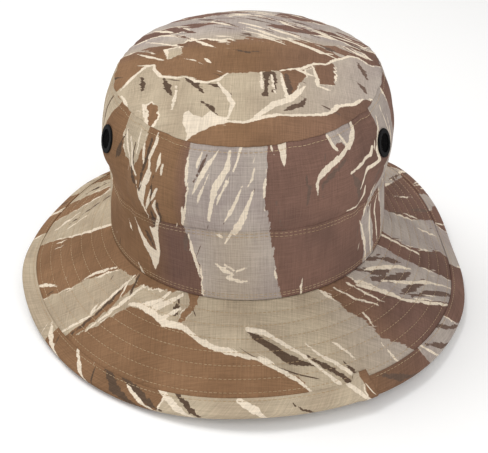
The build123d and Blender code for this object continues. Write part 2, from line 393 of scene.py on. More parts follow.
def printed_cotton(name, printed):
    """Slubby cotton poplin with the stripe print, or its paler unprinted back."""
    finish = Finish(name, 0.92)
    weave = finish.field("weave", "Vector")
    flow = finish.field("flow", "Vector")
    # This stored value is painted light: 0 where the hat is warm under the key light, 1 where it is painted
    # a cooler grey as shade.
    cool = finish.field("cool")

    # Threads: slubs along both ways of the cloth, over a fine even weave.
    slubs = finish.slubs(weave, 60, 1500)
    warp = finish.threads(weave, "X", 330.0, 1.2)
    weft = finish.threads(weave, "Y", 330.0, 1.2)
    ridges = finish.scaled(finish.math("ADD", warp, weft), 0.25)
    height = finish.math("ADD", finish.scaled(slubs, 0.8), ridges)
    fuzz = finish.swing(finish.noise(weave, 900.0, 2.0), 0.16)
    faded = finish.swing(finish.noise(weave, 26.0, 3.0), 0.22)
    tone = finish.math("ADD", finish.scaled(slubs, 0.7, 0.3), finish.math("ADD", fuzz, faded))

    # Ground: two close shades, each warm at one side of the hat and greyer at the other; the shift is
    # painted light, warm under the key light and greyer as painted shade.
    first = finish.mix(cool, linear(190, 174, 150), linear(168, 155, 148))
    second = finish.mix(cool, linear(178, 161, 138), linear(182, 170, 160))
    patchy = finish.ramp(finish.noise(weave, 34.0, 1.0), 0.42, 0.60)
    ground = finish.mix(patchy, first, second)
    if not printed:
        bled = finish.ramp(finish.field("brown"), -1.0, 1.0)
        colour = finish.mix(finish.scaled(bled, 0.5), ground, linear(150, 120, 94))
        return finish.done(finish.shade(finish.shade(colour, 0.92), tone), height, 0.00022)

    # The printed edges wander by about a millimetre and are torn along the stripes.
    ragged = finish.swing(finish.noise(weave, 170.0, 3.0, 0.6), 3.2)
    fine = finish.swing(finish.noise(weave, 620.0, 2.0), 1.3)
    torn = finish.noise(finish.stretch(flow, (430, 46, 1), (5, 1, 0)), 1.0, 3.0, 0.55)
    rag = finish.math("ADD", finish.math("ADD", ragged, fine), finish.swing(torn, 3.4))

    # Brown stripes in two close shades, each shifted by the same painted light to a greyer brown on the
    # shaded side.
    brown_at = finish.math("ADD", finish.field("brown"), rag)
    warm = finish.mix(cool, linear(142, 109, 81), linear(128, 98, 86))
    deep = finish.mix(cool, linear(128, 97, 71), linear(113, 87, 77))
    brown_ink = finish.mix(finish.ramp(finish.noise(weave, 22.0, 2.0), 0.40, 0.62), warm, deep)
    colour = finish.mix(finish.ramp(brown_at, -0.12, 0.12), ground, brown_ink)

    # Dark strokes, and dark splinters that follow the stripes, thickest beside their edges.
    beside = finish.ramp(finish.math("ABSOLUTE", finish.field("brown")), 17.0, 2.0)
    spread = finish.scaled(beside, 0.10)
    splinters = finish.noise(finish.stretch(flow, (210, 34, 1), (3, 7, 0)), 1.0, 2.5, 0.55)
    splinters = finish.swing(finish.math("ADD", splinters, spread), 14.0, 0.765)
    dark_at = finish.math("ADD", finish.field("dark"), rag)
    dark_at = finish.math("MAXIMUM", splinters, dark_at)
    # The dark ink shifts with the same painted light, to a greyer tone on the shaded side.
    dark_ink = finish.mix(cool, linear(94, 76, 62), linear(112, 92, 82))
    colour = finish.mix(finish.ramp(dark_at, -0.1, 0.12), colour, dark_ink)

    # Cream strokes and splinters, and a broken cream outline round the brown stripes.
    splinters = finish.noise(finish.stretch(flow, (240, 38, 1), (11, 2, 0)), 1.0, 2.5, 0.55)
    splinters = finish.swing(finish.math("ADD", splinters, spread), 14.0, 0.775)
    width = finish.swing(finish.noise(weave, 48.0, 2.0), 7.0)
    from_edge = finish.math("ABSOLUTE", finish.math("ADD", brown_at, 0.6))
    outline = finish.math("SUBTRACT", width, from_edge)
    cream_at = finish.math("ADD", finish.field("cream"), finish.scaled(rag, 0.55))
    cream_at = finish.math("MAXIMUM", finish.math("MAXIMUM", splinters, outline), cream_at)
    colour = finish.mix(finish.ramp(cream_at, -0.1, 0.12), colour, linear(232, 217, 196))
    return finish.done(finish.shade(colour, tone), height, 0.00022)


print_face = printed_cotton("printed_cotton", True)
print_back = printed_cotton("printed_cotton_back", False)
chart_seam_radius = 92      # millimetres from the middle of the brim's chart to the crown seam
chart_spread = 0.85         # the brim's width on the chart, drawn in for its droop
brim_middle_radius = 130


def brim_chart(angle, along):
    """A flat chart of the brim in millimetres, for laying out the print."""
    reach = chart_seam_radius + chart_spread * along
    return reach * np.sin(np.radians(angle)), -reach * np.cos(np.radians(angle))


def on_brim_chart(point):
    """A layout's point, given as degrees round and millimetres out, on the brim's chart."""
    return (*brim_chart(point[0], point[1]), *point[2:])


brim_front_layout = [
    # The first outline is a brown stripe of the print; its tail along the crown seam, from -50 to -20
    # degrees, is painted shade where the crown meets the brim.
    ("brown", [(-77, -3), (-84, 30), (-89, 66), (-78, 68), (-68, 66), (-64, 45), (-61, 30), (-57, 18),
               (-53, 8), (-50, 6), (-38, 6), (-26, 2), (-20, -3)]),
    ("brown", [(-40, 6, 1.2), (-44, 15, 2.4), (-46, 30, 2.4), (-48, 45, 2.2), (-51, 62, 2.0)]),
    ("brown", [(-33, 17.5), (-38, 20), (-42, 30), (-45, 42), (-50, 57), (-52, 66), (-34, 68),
               (-16, 68), (0, 68), (18, 66), (15, 48), (10, 40), (5, 34), (-1, 31.5), (-7, 28.5),
               (-12, 25), (-17, 21), (-24, 21.5), (-28, 19)]),
    ("dark", [(2, 18.5, 0.6), (6, 24, 1.9), (10, 30, 2.2), (13, 36, 2.4), (17, 40, 1.5), (20, 43, 0.3)]),
    ("brown", [(27, -3), (33, 8), (35, 18), (39, 28), (40, 40), (45, 52), (48, 66), (59, 68),
               (71, 66), (66, 50), (61, 40), (57, 33), (53, 24), (49, 14), (44, 6), (42, -3)]),
    ("brown", [(-18, -2, 3.5), (-17, 6, 2.2), (-19, 14, 1.6), (-20, 18, 0.6)]),
    ("dark", [(-23, 4, 0.6), (-22, 12, 1.5), (-24, 16, 0.5)]),
    ("dark", [(18, 36, 0.5), (22, 44, 1.3), (26, 54, 1.3), (27, 62, 1.0)]),
    ("dark", [(26, 40, 0.3), (28, 50, 0.9), (30, 61, 0.5)]),
    ("dark", [(-45, 8, 0.6), (-46, 24, 1.1), (-48, 42, 0.9), (-50, 56, 0.4)]),
    ("brown", [(66, -3), (71, 20), (80, 64), (97, 64), (86, 40), (79, 20), (76, -3)]),
    ("dark", [(46, -2, 1.0), (52, 5, 1.6), (57, 12, 2.4), (60, 14, 0.5)]),
    ("dark", [(51, 10, 0.6), (57, 18, 2.0), (63, 23, 2.4), (67, 26, 0.5)]),
    ("dark", [(60, 3, 0.6), (65, 12, 1.9), (68, 18, 0.4)]),
    ("dark", [(56, 28, 0.6), (62, 31, 2.4), (66, 34, 2.0), (69, 37, 0.4)]),
    ("dark", [(59, 34, 0.6), (64, 40, 1.6), (69, 48, 1.8), (73, 60, 0.6)]),
    ("dark", [(54, -2, 1.2), (59, 3, 1.2), (63, 4, 0.4)]),
    ("brown", [(-104, 34), (-97, 24), (-92, 40), (-98, 42)]),
    ("cream", [(-78, 0, 1.1), (-81, 15, 1.1), (-84, 30, 0.9), (-87, 45, 0.4)]),
    ("cream", [(-54, 8, 0.4), (-57, 14, 0.9), (-60, 22, 0.9), (-61, 29, 0.5)]),
    ("cream", [(-66, 44, 0.3), (-69, 50, 1.1), (-72, 60, 0.8)]),
    ("cream", [(-44, 4, 0.6), (-46.6, 20, 0.8), (-49, 40, 0.8), (-53, 58, 0.9)]),
    ("cream", [(-38, 6, 0.6), (-41, 18, 1.2), (-43.6, 30, 1.1), (-46.5, 46, 0.4)]),
    ("cream", [(-39, 19, 0.8), (-34, 15.8, 1.6), (-29, 9, 1.1), (-27, 3, 0.6)]),
    ("cream", [(-30, 15, 1.7), (-25, 7, 1.3), (-22, 2, 0.8)]),
    ("cream", [(-25, 17, 1.5), (-21, 10, 0.6)]),
    ("cream", [(-34, 17, 1.2), (-29, 17.5, 1.4), (-25, 20, 1.9), (-18, 19.5, 1.4), (-12, 25.5, 1.0),
               (-7, 28.5, 1.5), (-1, 31.2, 1.2), (4, 34, 0.9), (9, 40, 1.1), (14, 48, 1.0), (17, 57, 0.4)]),
    ("cream", [(2, 17, 1.3), (7, 19, 1.4), (11, 25, 1.1), (16, 33, 0.8), (19.5, 42, 0.7), (23, 52, 0.4)]),
    ("cream", [(18, 27, 0.2), (21, 36, 0.7), (25, 44, 1.1), (28, 54, 0.9), (29, 62, 0.5)]),
    ("cream", [(26, 31, 0.2), (29, 40, 0.8), (30, 45, 0.2)]),
    ("cream", [(20, 44, 0.3), (23.5, 54, 0.9), (25, 62, 0.7)]),
    ("cream", [(39, 43, 0.3), (39.8, 54, 0.7), (41, 62, 0.4)]),
    ("cream", [(39.5, 22, 0.3), (40, 29, 0.7), (40, 33, 0.2)]),
    ("cream", [(35, 3, 0.4), (40, 14, 0.6), (46, 24, 0.3)]),
    ("cream", [(41, 4, 0.5), (45, 15, 0.6), (49, 26, 0.3)]),
    ("cream", [(44, 8, 0.9), (50, 18, 1.1), (56, 33, 0.9), (62, 44, 0.9), (68, 58, 0.8)]),
    ("cream", [(50, 3, 0.5), (58, 9, 1.2), (66, 19, 1.2), (69, 26, 0.4)]),
    ("cream", [(54, 15, 0.5), (62, 27, 1.2), (70, 40, 0.9), (75, 56, 0.6)]),
    ("cream", [(74, 0, 1.0), (77, 15, 1.0), (80, 30, 0.6)]),
]
brim_back_layout = [
    ("brown", [(92, -3), (100, 30), (108, 66), (128, 66), (122, 40), (116, 20), (104, -3)]),
    ("brown", [(140, -3), (137, 30), (145, 66), (168, 66), (160, 36), (152, 14), (150, -3)]),
    ("brown", [(176, 12), (184, 30), (188, 66), (206, 66), (203, 44), (196, 24), (186, 10)]),
    ("brown", [(214, -3), (220, 22), (217, 44), (224, 66), (240, 66), (238, 40), (232, 16), (229, -3)]),
    ("brown", [(246, 20), (252, 66), (262, 66), (258, 40), (252, 20)]),
]
draw_back = np.random.default_rng(31)
for foot in range(96, 268, 5):
    start = draw_back.uniform(0, 34)
    lean = draw_back.uniform(0.1, 0.4)
    reach = draw_back.uniform(14, 30)
    width = draw_back.uniform(0.7, 1.7)
    stroke = [
        (foot, start, 0.2),
        (foot + lean * reach / 2, start + reach / 2, width),
        (foot + lean * reach, start + reach, 0.2),
    ]
    brim_back_layout.append((("cream", "dark", "cream")[foot % 3], stroke))


def brim_flow(angle, along):
    """Runs of the stripes on the brim, for the fine splinters that follow them."""
    stripes_at = (-180, -60, -10, 45, 90, 180)
    stripes_lean = (0.3, -0.2, 1.1, 2.0, 1.0, 0.3)
    lean = np.interp(from_front(angle), stripes_at, stripes_lean)
    return np.radians(angle) * brim_middle_radius - lean * along, along


def brim_cool_shade(angle):
    """Painted light on the brim: 0 where the print is warm, at the wearer's right under the key light, to 1
    where it is painted a cooler grey as shade.
    """
    angle = from_front(angle)
    return np.clip((angle - 25) / 25, 0, 1) * np.clip((175 - angle) / 60, 0, 1)


def finish_cloth(piece, node):
    """Attaches a cloth piece to the one rigid body, and hides the part of model.glb that it stands in for.
    """
    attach(piece, "root")
    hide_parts(node)


def grid_places(angles, others):
    """Both numbers of each point of a grid, in the order of the cloth's points."""
    return (values.ravel() for values in np.broadcast_arrays(angles, others))


brim_layouts = {"front": brim_front_layout, "back": brim_back_layout}
for half, span in halves.items():
    angles = np.linspace(*span, 400)[:, None]
    alongs = np.linspace(0, ply_end, 68)[None, :]
    swell = quilting(angles, alongs)
    piece, source = cloth_shell(
        f"brim_top_{half}",
        brim_place(angles, alongs, swell),
        brim_place(angles, alongs, swell - cloth),
    )
    angle_at, along_at = grid_places(angles, alongs * 1000)
    chart = np.stack(brim_chart(angle_at, along_at), -1)
    fields = stamp(brim_layouts[half], chart, on_brim_chart)
    flow = brim_flow(angle_at, along_at)
    print_on(piece, source, fields, chart.T, flow, brim_cool_shade(angle_at))
    finish_cloth(piece, f"brim_top_{half}")

# ---------------------------------------------------------------------------------------------
# Brim interlining. Two half rings of stiff white cotton, cut short of the crown seam and caught
# between the printed plies by the stitch rows.

interlining_cloth = 0.0005
interlining_start = 0.0015
interlining_top = -cloth - layer_gap


def plain_weave(name, colour, thread_scale):
    """Undyed or plain dyed woven cloth or tape."""
    finish = Finish(name, 0.85, 0.1)
    weave = finish.field("weave", "Vector")
    slubs = finish.slubs(weave, 80, thread_scale)
    ribs = finish.threads(weave, "X", thread_scale / 5, 1.0)
    height = finish.math("ADD", slubs, finish.scaled(ribs, 0.5))
    soiled = finish.noise(weave, 30.0, 3.0)
    tone = finish.math("ADD", finish.scaled(slubs, 0.5, 0.35), finish.scaled(soiled, 0.28))
    return finish.done(finish.shade(linear(*colour), tone), height, 0.00015)


interlining_cotton = plain_weave("interlining_cotton", (226, 222, 210), 1100)
for half, span in halves.items():
    angles = np.linspace(*span, 300)[:, None]
    alongs = np.linspace(interlining_start, ply_end, 24)[None, :]
    piece, source = cloth_shell(
        f"brim_interlining_{half}",
        brim_place(angles, alongs, interlining_top),
        brim_place(angles, alongs, interlining_top - interlining_cloth),
    )
    store_run(piece, source, "weave", *brim_chart(*grid_places(angles, alongs * 1000)))
    piece.data.materials.append(interlining_cotton)
    finish_cloth(
        piece, f"brim_interlining_{half}",
    )

# ---------------------------------------------------------------------------------------------
# Brim, under ply. Two half rings like the top ones, printed side down. Their inner allowance is
# turned up inside the crown band, where the sweatband covers it.

under_top = interlining_top - interlining_cloth - layer_gap
under_bottom = under_top - cloth
allowance_height = 0.0080
allowance_outer = base_half_width - cloth - layer_gap
allowance_inner = allowance_outer - cloth
allowance_rows = 9
under_mm_per_degree = 2.2


def under_face(angle, along, half_width, above):
    """One face of the under ply: up the inside of the band, then out along the brim."""
    droop = brim_droop(angle)
    out = half_width - base_half_width - above * np.sin(droop)
    fold_z = seam_z - out * np.tan(droop) + above * np.cos(droop)
    rise = np.linspace(1, 0, allowance_rows, endpoint=False)[None, :]
    z = fold_z + (seam_z + allowance_height - fold_z) * rise
    upright = oval(angle, half_width, z)
    start = out / np.cos(droop)
    share = (along - along[:, :1]) / (along[:, -1:] - along[:, :1])
    swell = -quilting(angle, along)
    flat = brim_place(angle, start + (ply_end - start) * share, above + swell)
    return np.concatenate([upright, flat], 1)


under_seed = {"front": 41, "back": 42}
for half, span in halves.items():
    angles = np.linspace(*span, 400)[:, None]
    alongs = np.linspace(0, ply_end, 62)[None, :]
    lower = under_face(angles, alongs, allowance_inner, under_bottom)
    upper = under_face(angles, alongs, allowance_outer, under_top)
    piece, source = cloth_shell(f"brim_under_{half}", lower[::-1], upper[::-1])
    turned_up = np.linspace(-8, 0, allowance_rows, endpoint=False)
    chart_along = np.concatenate([turned_up, alongs[0] * 1000])
    angle_at, along_at = grid_places(angles[::-1], chart_along[None, :])
    box = (span[0] * under_mm_per_degree, -8, span[1] * under_mm_per_degree, 66)
    layout = wild_stripes(under_seed[half], box, 11, 0.3)
    fields = stamp(layout, np.stack([angle_at * under_mm_per_degree, along_at], -1))
    weave = brim_chart(angle_at, along_at)
    flow = brim_flow(angle_at, along_at)
    print_on(piece, source, fields, weave, flow, brim_cool_shade(angle_at))
    finish_cloth(piece, f"brim_under_{half}")

# ---------------------------------------------------------------------------------------------
# Edge binding. One strip of the print folded over the brim's edge, its ends overlapped at the
# front left and its two edges stitched down together.

binding_width = 0.0110
binding_over = layer_gap + cloth
binding_under = -under_bottom + layer_gap + cloth
binding_join = 28.0
binding_overlap = 3.0
binding_turn_radius = (binding_over + binding_under) / 2
binding_run = (binding_width - binding_turn_radius) * 1000
binding_row = 0.0577        # stitch row near the strip's inner edges, out from the crown seam
edge_mm_per_degree = 2.6    # millimetres of strip to one degree round the edge


def binding_face(angle, depth):
    """The strip's outer face, or its inner one at depth cloth; columns run from top to bottom."""
    radius = binding_turn_radius - depth
    middle = brim_slant - binding_turn_radius
    level = (binding_over - binding_under) / 2
    run = np.linspace(brim_slant - binding_width, middle, 12)[:-1]
    turns = np.linspace(0, pi, 15)
    along = np.concatenate([run, middle + radius * np.sin(turns), run[::-1]])[None, :]
    above = np.concatenate([0 * run + radius, radius * np.cos(turns), 0 * run - radius])[None, :]
    lift = 0.0007 * np.clip((angle - binding_join - 360 + 1.5) / 1.2, 0, 1)
    grow = 1 + lift / binding_turn_radius
    near_row = np.exp(-((along - binding_row - 0.0001) / 0.0012) ** 2)
    pucker = 0.00009 * np.sin(np.radians(angle) * 190) * near_row
    return brim_place(angle, middle + (along - middle) * grow, level + above * grow - pucker)


binding_layout = [
    ("brown", [(-104, -2), (-100, 30), (-92, 30), (-94, -2)]),
    ("brown", [(-54, -2), (-56, 30), (-16, 30), (-18, 10), (-17, -2)]),
    ("brown", [(29, -2), (28, 30), (48, 30), (47, -2)]),
    ("brown", [(62, -2), (68, 30), (92, 30), (86, -2)]),
    ("cream", [(-57, 1, 0.7), (-54, 5, 1.3), (-50, 9, 1.2), (-46, 14, 0.5)]),
    ("cream", [(-45, -1, 0.6), (-41, 5, 1.1), (-37, 11, 0.5)]),
    ("dark", [(-34, -1, 1.2), (-30, 5, 2.2), (-24, 10, 1.8), (-20, 14, 0.6)]),
    ("dark", [(-29, -1, 0.8), (-23, 4, 1.8), (-17, 9, 0.8)]),
    ("cream", [(-27, 2, 0.5), (-22, 7, 0.9), (-18, 11, 0.4)]),
    ("cream", [(-19, -1, 1.0), (-15, 4, 1.6), (-11, 9, 1.2), (-8, 14, 0.4)]),
    ("dark", [(-15, -1, 0.8), (-11, 5, 1.4), (-8, 10, 0.5)]),
    ("cream", [(0, 1, 1.4), (4, 6, 1.8), (6, 12, 0.6)]),
    ("dark", [(12, 4, 0.3), (15, 9, 1.0), (18, 14, 0.3)]),
    ("cream", [(25, -1, 1.0), (27, 5, 1.2), (29, 12, 0.8)]),
    ("dark", [(33, 1, 0.4), (38, 6, 1.4), (43, 11, 0.4)]),
    ("dark", [(50, 1, 0.4), (53, 6, 1.7), (57, 11, 0.8)]),
    ("dark", [(57, -1, 0.6), (60, 4, 1.4), (64, 10, 0.6)]),
    ("cream", [(48, -1, 0.8), (50, 6, 0.9), (52, 14, 0.4)]),
]
binding_layout = [
    (colour, [(point[0] * edge_mm_per_degree, *point[1:]) for point in points])
    for colour, points in binding_layout
] + wild_stripes(7, (100 * edge_mm_per_degree, -2, 262 * edge_mm_per_degree, 28), 12, 0.5)
angles = np.linspace(binding_join, binding_join + 360 + binding_overlap, 860)[:, None]
piece, source = cloth_shell("brim_binding", binding_face(angles, 0), binding_face(angles, cloth))
profile = np.linspace(0, 2 * binding_run + 5, 37)
angle_at, profile_at = grid_places(angles, profile[None, :])
round_at = (np.mod(angle_at + 100, 360) - 100) * edge_mm_per_degree
fields = stamp(binding_layout, np.stack([round_at, profile_at], -1))
on_the_bias = (angle_at * edge_mm_per_degree + profile_at) / 1.414
flow = (round_at - 0.5 * profile_at, profile_at)
print_on(piece, source, fields, (on_the_bias, profile_at), flow, brim_cool_shade(angle_at))
finish_cloth(
    piece, "brim_binding"
)

# ---------------------------------------------------------------------------------------------
# Crown band. Two printed strips round the head, sewn between the brim and the upper crown, with
# topstitching under their upper seam.

band_height = 0.0420
band_flare = 0.0005
bulge_swell = 0.0030
bulge_height = 0.0640
tip_tuck = 0.0085
tip_height = 0.0950
tip_lean = 0.0070
tip_half_width = base_half_width - tip_tuck
vent_angles = {"right_front": -60.0, "right_back": -117.0, "left_front": 60.0, "left_back": 117.0}
vent_height_share = 0.92
vent_washer_radius = 0.0080
tip_tape_width = 0.0090
vent_hole_radius = 0.0061
pressed_radius = 0.0095     # cloth that the eyelet presses flat, with the easing round it
pressed_easing = 0.0090
far_side = -0.02            # places further behind a vent than this are the hat's other side
flattened_sides = 0.0022    # how far the crown's sides are drawn in under the tip
crease_width = 2.4          # degrees
crown_mm_per_degree = 1.61


def tip_z(angle):
    """Height of the leaning ring where the sides meet the tip."""
    return seam_z + tip_height - tip_lean * np.cos(np.radians(angle))


# Creases left by folding: angle, lean in degrees to a metre, lowest and highest place, depth.
draw_crease = np.random.default_rng(17)
small_creases = [
    (
        draw_crease.uniform(-180, 180), draw_crease.uniform(-500, 500), low,
        low + draw_crease.uniform(0.026, 0.050), draw_crease.uniform(0.0001, 0.00042),
    )
    for low in draw_crease.uniform(0.0, 0.065, 70)
]
crown_creases = small_creases + [
    (50.0, 40.0, 0.020, 0.100, 0.0009),
    (24.0, -220.0, 0.044, 0.100, 0.0006),
    (-47.0, 120.0, 0.030, 0.100, 0.0008),
    (-27.0, -90.0, 0.044, 0.100, 0.0004),
    (108.0, 60.0, 0.010, 0.070, 0.0008),
    (152.0, -80.0, 0.030, 0.110, 0.0009),
    (205.0, 90.0, 0.010, 0.110, 0.0007),
    (250.0, -60.0, 0.020, 0.075, 0.0008),
]


def band_top(angle):
    """Height of the band's upper seam over the brim seam: the band rises at front and back."""
    turn = from_front(angle)
    dip = 0.0035 * np.exp(-((turn + 58) / 26) ** 2) + 0.0015 * np.exp(-((turn - 62) / 26) ** 2)
    return band_height + 0.0022 * np.cos(2 * np.radians(angle)) - dip


def crown_wave(angle, height):
    """Soft dents in the standing crown, fading to nothing at the brim seam."""
    turn = np.radians(angle)
    flat_sides = np.abs(np.sin(turn)) ** 3 * np.clip((0.094 - height) / 0.020, 0, 1)
    wave = 0.0007 * np.sin(3 * turn + 1.0 + height * 18) + 0.0006 * np.sin(6 * turn - height * 35)
    wave = wave - flattened_sides * flat_sides
    wave = wave + 0.00028 * np.sin(14 * turn + height * 70) + 0.00012 * np.sin(33 * turn)
    below_tip = np.clip(tip_z(angle) - seam_z - height, 0, 1)
    gathers = np.sin(52 * turn + 2 * np.sin(7 * turn)) * np.exp(-below_tip / 0.007)
    wave = wave + 0.00020 * gathers
    for middle, lean, low, high, depth in crown_creases:
        across = from_front(angle - middle - lean * (height - 0.060)) / crease_width
        reach = np.clip((height - low) / 0.012, 0, 1) * np.clip((high - height) / 0.012, 0, 1)
        wave = wave - depth * reach * (np.exp(-across ** 2) - 0.5 * np.exp(-((across - 2) / 1.3) ** 2))
    return wave * np.clip(height / 0.030, 0, 1) ** 2


def side_arc(angle):
    """Middle half width, middle height and radius of the upper crown's arc at an angle."""
    x1, z1 = base_half_width + band_flare, seam_z + band_height + layer_gap
    x2, z2 = base_half_width + bulge_swell, seam_z + bulge_height
    x3, z3 = tip_half_width, tip_z(angle)
    k1 = (x2 * x2 - x1 * x1 + z2 * z2 - z1 * z1) / 2
    k2 = (x3 * x3 - x2 * x2 + z3 * z3 - z2 * z2) / 2
    cross = (x2 - x1) * (z3 - z2) - (x3 - x2) * (z2 - z1)
    x_mid = (k1 * (z3 - z2) - k2 * (z2 - z1)) / cross
    z_mid = (k2 * (x2 - x1) - k1 * (x3 - x2)) / cross
    return x_mid, z_mid, np.hypot(x1 - x_mid, z1 - z_mid)


def crown_half_width(angle, height):
    """Outside half width of the crown at a height over the brim seam, without its dents."""
    x_mid, z_mid, radius = side_arc(angle)
    arc = x_mid + np.sqrt(radius ** 2 - (seam_z + height - z_mid) ** 2)
    band = base_half_width + band_flare * height / band_height
    return np.where(height > band_height + layer_gap / 2, arc, band)


def vent_frame(angle):
    """Centre, and the along, up and outward directions, of a vent on the crown."""
    lowest = seam_z + band_height + layer_gap + vent_washer_radius
    highest = tip_z(angle) - layer_gap - tip_tape_width - vent_washer_radius
    z = lowest + vent_height_share * (highest - lowest)
    x_mid, z_mid, radius = side_arc(angle)
    half_width = crown_half_width(angle, z - seam_z)
    turn = radians(angle)
    along = Vector((half_width * cos(turn), (half_width + oval_step) * sin(turn), 0)).normalized()
    level = Vector((along.y, -along.x, 0))
    outward = (level * float(half_width - x_mid) + Vector((0, 0, float(z - z_mid)))).normalized()
    centre = Vector(oval(np.array(angle), half_width, z))
    return [np.array(part) for part in (centre, along, outward.cross(along), outward)]


def from_vent(points, frame_of_vent):
    """How far points are from a vent's axis, and how far they are out from its cloth."""
    centre, along, up, outward = frame_of_vent
    gap = points - centre
    return np.hypot(gap @ along, gap @ up), gap @ outward


vent_frames = {place: vent_frame(angle) for place, angle in vent_angles.items()}


def crown_place(angle, height, depth):
    """A point of the crown's side this far behind its outside face."""
    near_seam = np.exp(-((height - band_top(angle)) / 0.0011) ** 2)
    shape = crown_wave(angle, height) - 0.00035 * near_seam
    shape = shape + 0.00006 * np.sin(np.radians(angle) * 140) * near_seam
    smooth = crown_half_width(angle, height) - depth
    flat = oval(angle, smooth, seam_z + height)
    bent = oval(angle, smooth + shape, seam_z + height)
    for frame_of_vent in vent_frames.values():
        reach, rise = from_vent(flat, frame_of_vent)
        reach = np.where(rise > far_side, reach, 1)
        calm = np.clip((reach - pressed_radius) / pressed_easing, 0, 1)[..., None]
        pressed = flat - (rise + depth + layer_gap / 2)[..., None] * frame_of_vent[3]
        bent = bent * calm + pressed * (1 - calm)
    return bent


